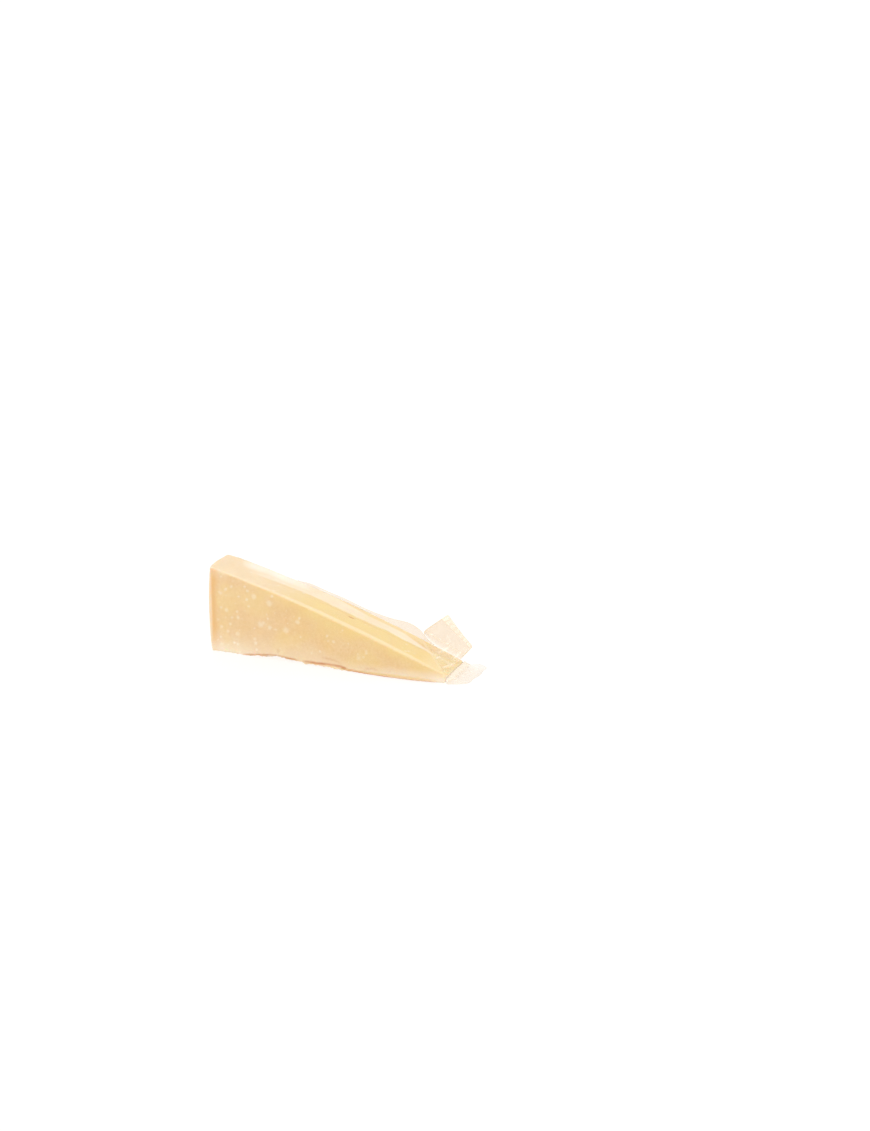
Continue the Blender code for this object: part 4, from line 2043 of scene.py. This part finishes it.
@dataclass
class FilmTail:
    """The empty end of the bag, which falls from the tip and lies on the ground."""

    form: WedgeForm
    finish: VacuumFilm
    inner_low: float = 2.4 * MM
    inner_high: float = 6.6 * MM
    inner_start: float = 0.8 * MM
    inner_past: float = 5 * MM
    inner_fall: float = 4 * MM
    gap: float = 0.3 * MM
    reach: float = 15.5 * MM
    least_reach: float = 1.0 * MM
    outer_start: float = 0.6 * MM
    back_reach: float = 54.0 * MM
    tuck: float = 11.0 * MM
    tuck_from: float = 0.82
    wave: float = 0.6 * MM
    waves: float = 2.3
    wrinkle: float = 0.5 * MM
    wall: float = 0.25 * MM
    # Where it has crests, its rim and its root, and where it grows clearer to the back
    crest: Ramp = (0.5, 1.3)
    rim: Ramp = (0.96, 1.0)
    root: Ramp = (0.10, 0.38)
    clearer: Ramp = (0.55, 0.95)
    clearer_by: float = 0.45
    milky: tuple[float, float] = (0.2, 0.14)
    rim_milky: float = 0.1
    root_milky: float = 0.6
    white: tuple[float, float] = (0.2, 0.5)
    # Whiter root: painted light over the shaded tip end, on gathered film
    root_white_and_painted_light: float = 0.9
    rows_across: int = 170
    rows_out: int = 60

    def build(self) -> bpy.types.Object:
        """Model and dress the tail.

        Returns:
            The piece film_tail_flap.
        """
        rows = self.rows_across, self.rows_out
        piece = sheet_from_grid("film_tail_flap", *rows, self.place)
        shares = grid_shares(*rows)
        across, out = shares[:, 0], shares[:, 1]
        crest = np.array([self.streaks(float(u), float(v)) for u, v in shares])
        crest = smooth_step(*self.crest, crest)
        root = 1 - smooth_step(*self.root, out)
        (between, more), (dull, whiter) = self.milky, self.white
        milky = between + more * crest
        milky *= 1 - self.clearer_by * smooth_step(*self.clearer, across)
        milky += self.root_milky * root + self.rim_milky * smooth_step(*self.rim, out)
        white = dull + whiter * crest + self.root_white_and_painted_light * root
        write_attribute(piece, "lift", np.clip(milky, 0, 1))
        write_attribute(piece, "whiteness", np.clip(white, 0, 1))
        apply_modifier(piece, "SOLIDIFY", thickness=self.wall, offset=0.0)
        places = coordinates(piece)
        places[:, 2] = np.maximum(places[:, 2], self.form.corner.z)
        move_vertices(piece, places)
        dress(piece, self.finish.make())
        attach(piece, "root")
        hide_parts("film_tail")
        return piece

    def outer(self, along: float) -> Vector:
        """Return a point of the free edge, on the ground.

        Args:
            along: Share of the way across the tip, from its front.

        Returns:
            The point, counted from the wedge's corner.
        """
        tip = self.form.length
        y = self.outer_start + (self.back_reach - self.outer_start) * along
        reach = self.reach * min(1.0, math.sin(math.pi * min(along * 2.2, 0.5)) ** 0.7)
        past = max(0.0, (along - self.tuck_from) / (1 - self.tuck_from))
        wave = self.wave * math.sin(TURN * self.waves * along)
        x = tip + self.least_reach + reach + wave - self.tuck * past ** 2
        return Vector((x, y, self.wall / 2))

    @staticmethod
    def streaks(along: float, out: float) -> float:
        """Return the wrinkles that fan out from the tip, from about -2 to 2.

        Args:
            along: Share of the way across the tip, from its front.
            out: Share of the way from the tip to the free edge.

        Returns:
            The wrinkles' height, in units of their depth.
        """
        fan = along + 0.03 * math.sin(9 * along + 3 * out)
        wide = math.sin(TURN * (6.2 * fan + 0.55 * out))
        fine = math.sin(TURN * (15.7 * fan - 0.4 * out + 0.3))
        return wide + 0.8 * fine

    def place(self, along: float, out: float) -> Vector:
        """Place a point of the tail.

        Args:
            along: Share of the way across the tip, from its front.
            out: Share of the way from the tip to the free edge.

        Returns:
            The point in the frame.
        """
        tip = self.form.length
        back = self.form.thickness
        y = self.inner_start + (back + self.inner_past) * along
        past = max(0.0, y - back)
        height = self.inner_low + (self.inner_high - self.inner_low) * along ** 0.45
        height *= math.exp(-past / self.inner_fall)
        inner = Vector((tip + self.gap, y, height + self.wall))
        outer = self.outer(along)
        point = inner.lerp(outer, out)
        point.z = outer.z + (inner.z - outer.z) * (1 - out) ** 2.2
        body = math.sin(math.pi * min(1.0, out * 1.08)) ** 0.8
        point.z += self.wrinkle * (1 + 0.5 * self.streaks(along, out)) * 0.5 * body
        return self.form.corner + point


# The studio


@dataclass(frozen=True)
class Softbox:
    """A square light that faces the part: its place, its side, its power in watts."""

    name: str
    place: tuple[float, float, float]
    side: float
    power: float

    def hang(self) -> None:
        """Hang the light."""
        deselect_all()
        bpy.ops.object.light_add(type="AREA", location=self.place)
        lamp = bpy.context.object
        lamp.name = self.name
        lamp.data.shape = "SQUARE"
        lamp.data.size = self.side
        lamp.data.energy = self.power
        lamp.rotation_euler = (-Vector(self.place)).to_track_quat("-Z", "Y").to_euler()


@dataclass
class Studio:
    """A white floor, soft light from above and a camera at the photograph's angle."""

    form: WedgeForm
    cover: OpalFloor
    turn: float = 22.79
    look_down: float = 16.94
    distance: float = 2.0
    focal_pixels: float = 2500.0
    aim_right: float = 179.3 * MM
    aim_up: float = 68.5 * MM
    clip_end: float = 50.0
    sweep: float = 16.0
    sweep_segments: int = 16
    surround: float = 0.95
    surround_tone: str = "#FFFDFA"
    softboxes: tuple[Softbox, ...] = (
        Softbox("overhead", (-0.15, 0.45, 1.15), 1.1, 3.2),
        Softbox("front_fill", (-0.9, -1.5, 0.8), 0.9, 6.8),
        Softbox("side_fill", (1.3, -0.4, 0.5), 0.8, 3.6),
    )

    def build(self) -> None:
        """Make the floor, the lights and the camera."""
        self.floor()
        self.lights()
        self.camera()
        bpy.context.scene.view_settings.view_transform = "Standard"
        bpy.context.scene.view_settings.look = "None"

    def floor(self) -> None:
        """Lay the backdrop under the part and sweep it up far behind."""
        deselect_all()
        bpy.ops.mesh.primitive_plane_add(size=self.sweep, location=(0, 0, 0))
        paper = bpy.context.object
        paper.name = "studio_floor"
        far = self.sweep / 2
        with editing(paper):
            pick(paper, Pick.EDGES, lambda p: p.y > far - MM)
            bpy.ops.mesh.extrude_region_move(
                TRANSFORM_OT_translate={"value": (0, 0, far)}
            )
            pick(paper, Pick.EDGES, lambda p: p.y > far - MM and p.z < MM)
            bpy.ops.mesh.bevel(offset=far / 2, segments=self.sweep_segments,
                               affect="EDGES")
        dress(paper, self.cover.make())

    def lights(self) -> None:
        """Hang the softboxes and fill with an even white surround."""
        world = bpy.data.worlds.new("studio_surround")
        world.use_nodes = True
        back = world.node_tree.nodes["Background"]
        back.inputs["Color"].default_value = linear(self.surround_tone)
        back.inputs["Strength"].default_value = self.surround
        bpy.context.scene.world = world
        for softbox in self.softboxes:
            softbox.hang()

    def camera(self) -> None:
        """Set the camera where the photograph was taken from."""
        turn, down = math.radians(self.turn), math.radians(self.look_down)
        right = Vector((math.cos(turn), math.sin(turn), 0.0))
        level = Vector((-math.sin(turn), math.cos(turn), 0.0))
        ahead = level * math.cos(down) - Vector((0.0, 0.0, math.sin(down)))
        up = right.cross(ahead)
        aim = self.form.corner + right * self.aim_right + up * self.aim_up
        deselect_all()
        bpy.ops.object.camera_add(location=aim - ahead * self.distance)
        view = bpy.context.object
        view.name = "photo_view"
        view.rotation_euler = ahead.to_track_quat("-Z", "Y").to_euler()
        view.data.sensor_width = SENSOR_MM
        view.data.lens = self.focal_pixels * SENSOR_MM / IMAGE_HEIGHT
        view.data.clip_end = self.clip_end
        bpy.context.scene.camera = view


def main() -> None:
    """Build every piece round the frame and report each."""
    logging.basicConfig(level=logging.INFO, format="%(name)s: %(message)s")
    form = WedgeForm.from_frame()
    skin = VacuumFilm("clinging_film", clear=0.01)
    free = VacuumFilm("free_film")
    makers = (
        CheeseWedge(form, HardCheese()),
        FilmSkin(form, skin),
        FilmFin(form, free),
        SealTab(form, free),
        FilmTail(form, free),
    )
    for maker in makers:
        piece = maker.build()
        LOG.info("%s has %d faces", piece.name, len(piece.data.polygons))
    Studio(form, OpalFloor()).build()


if __name__ == "__main__":
    main()
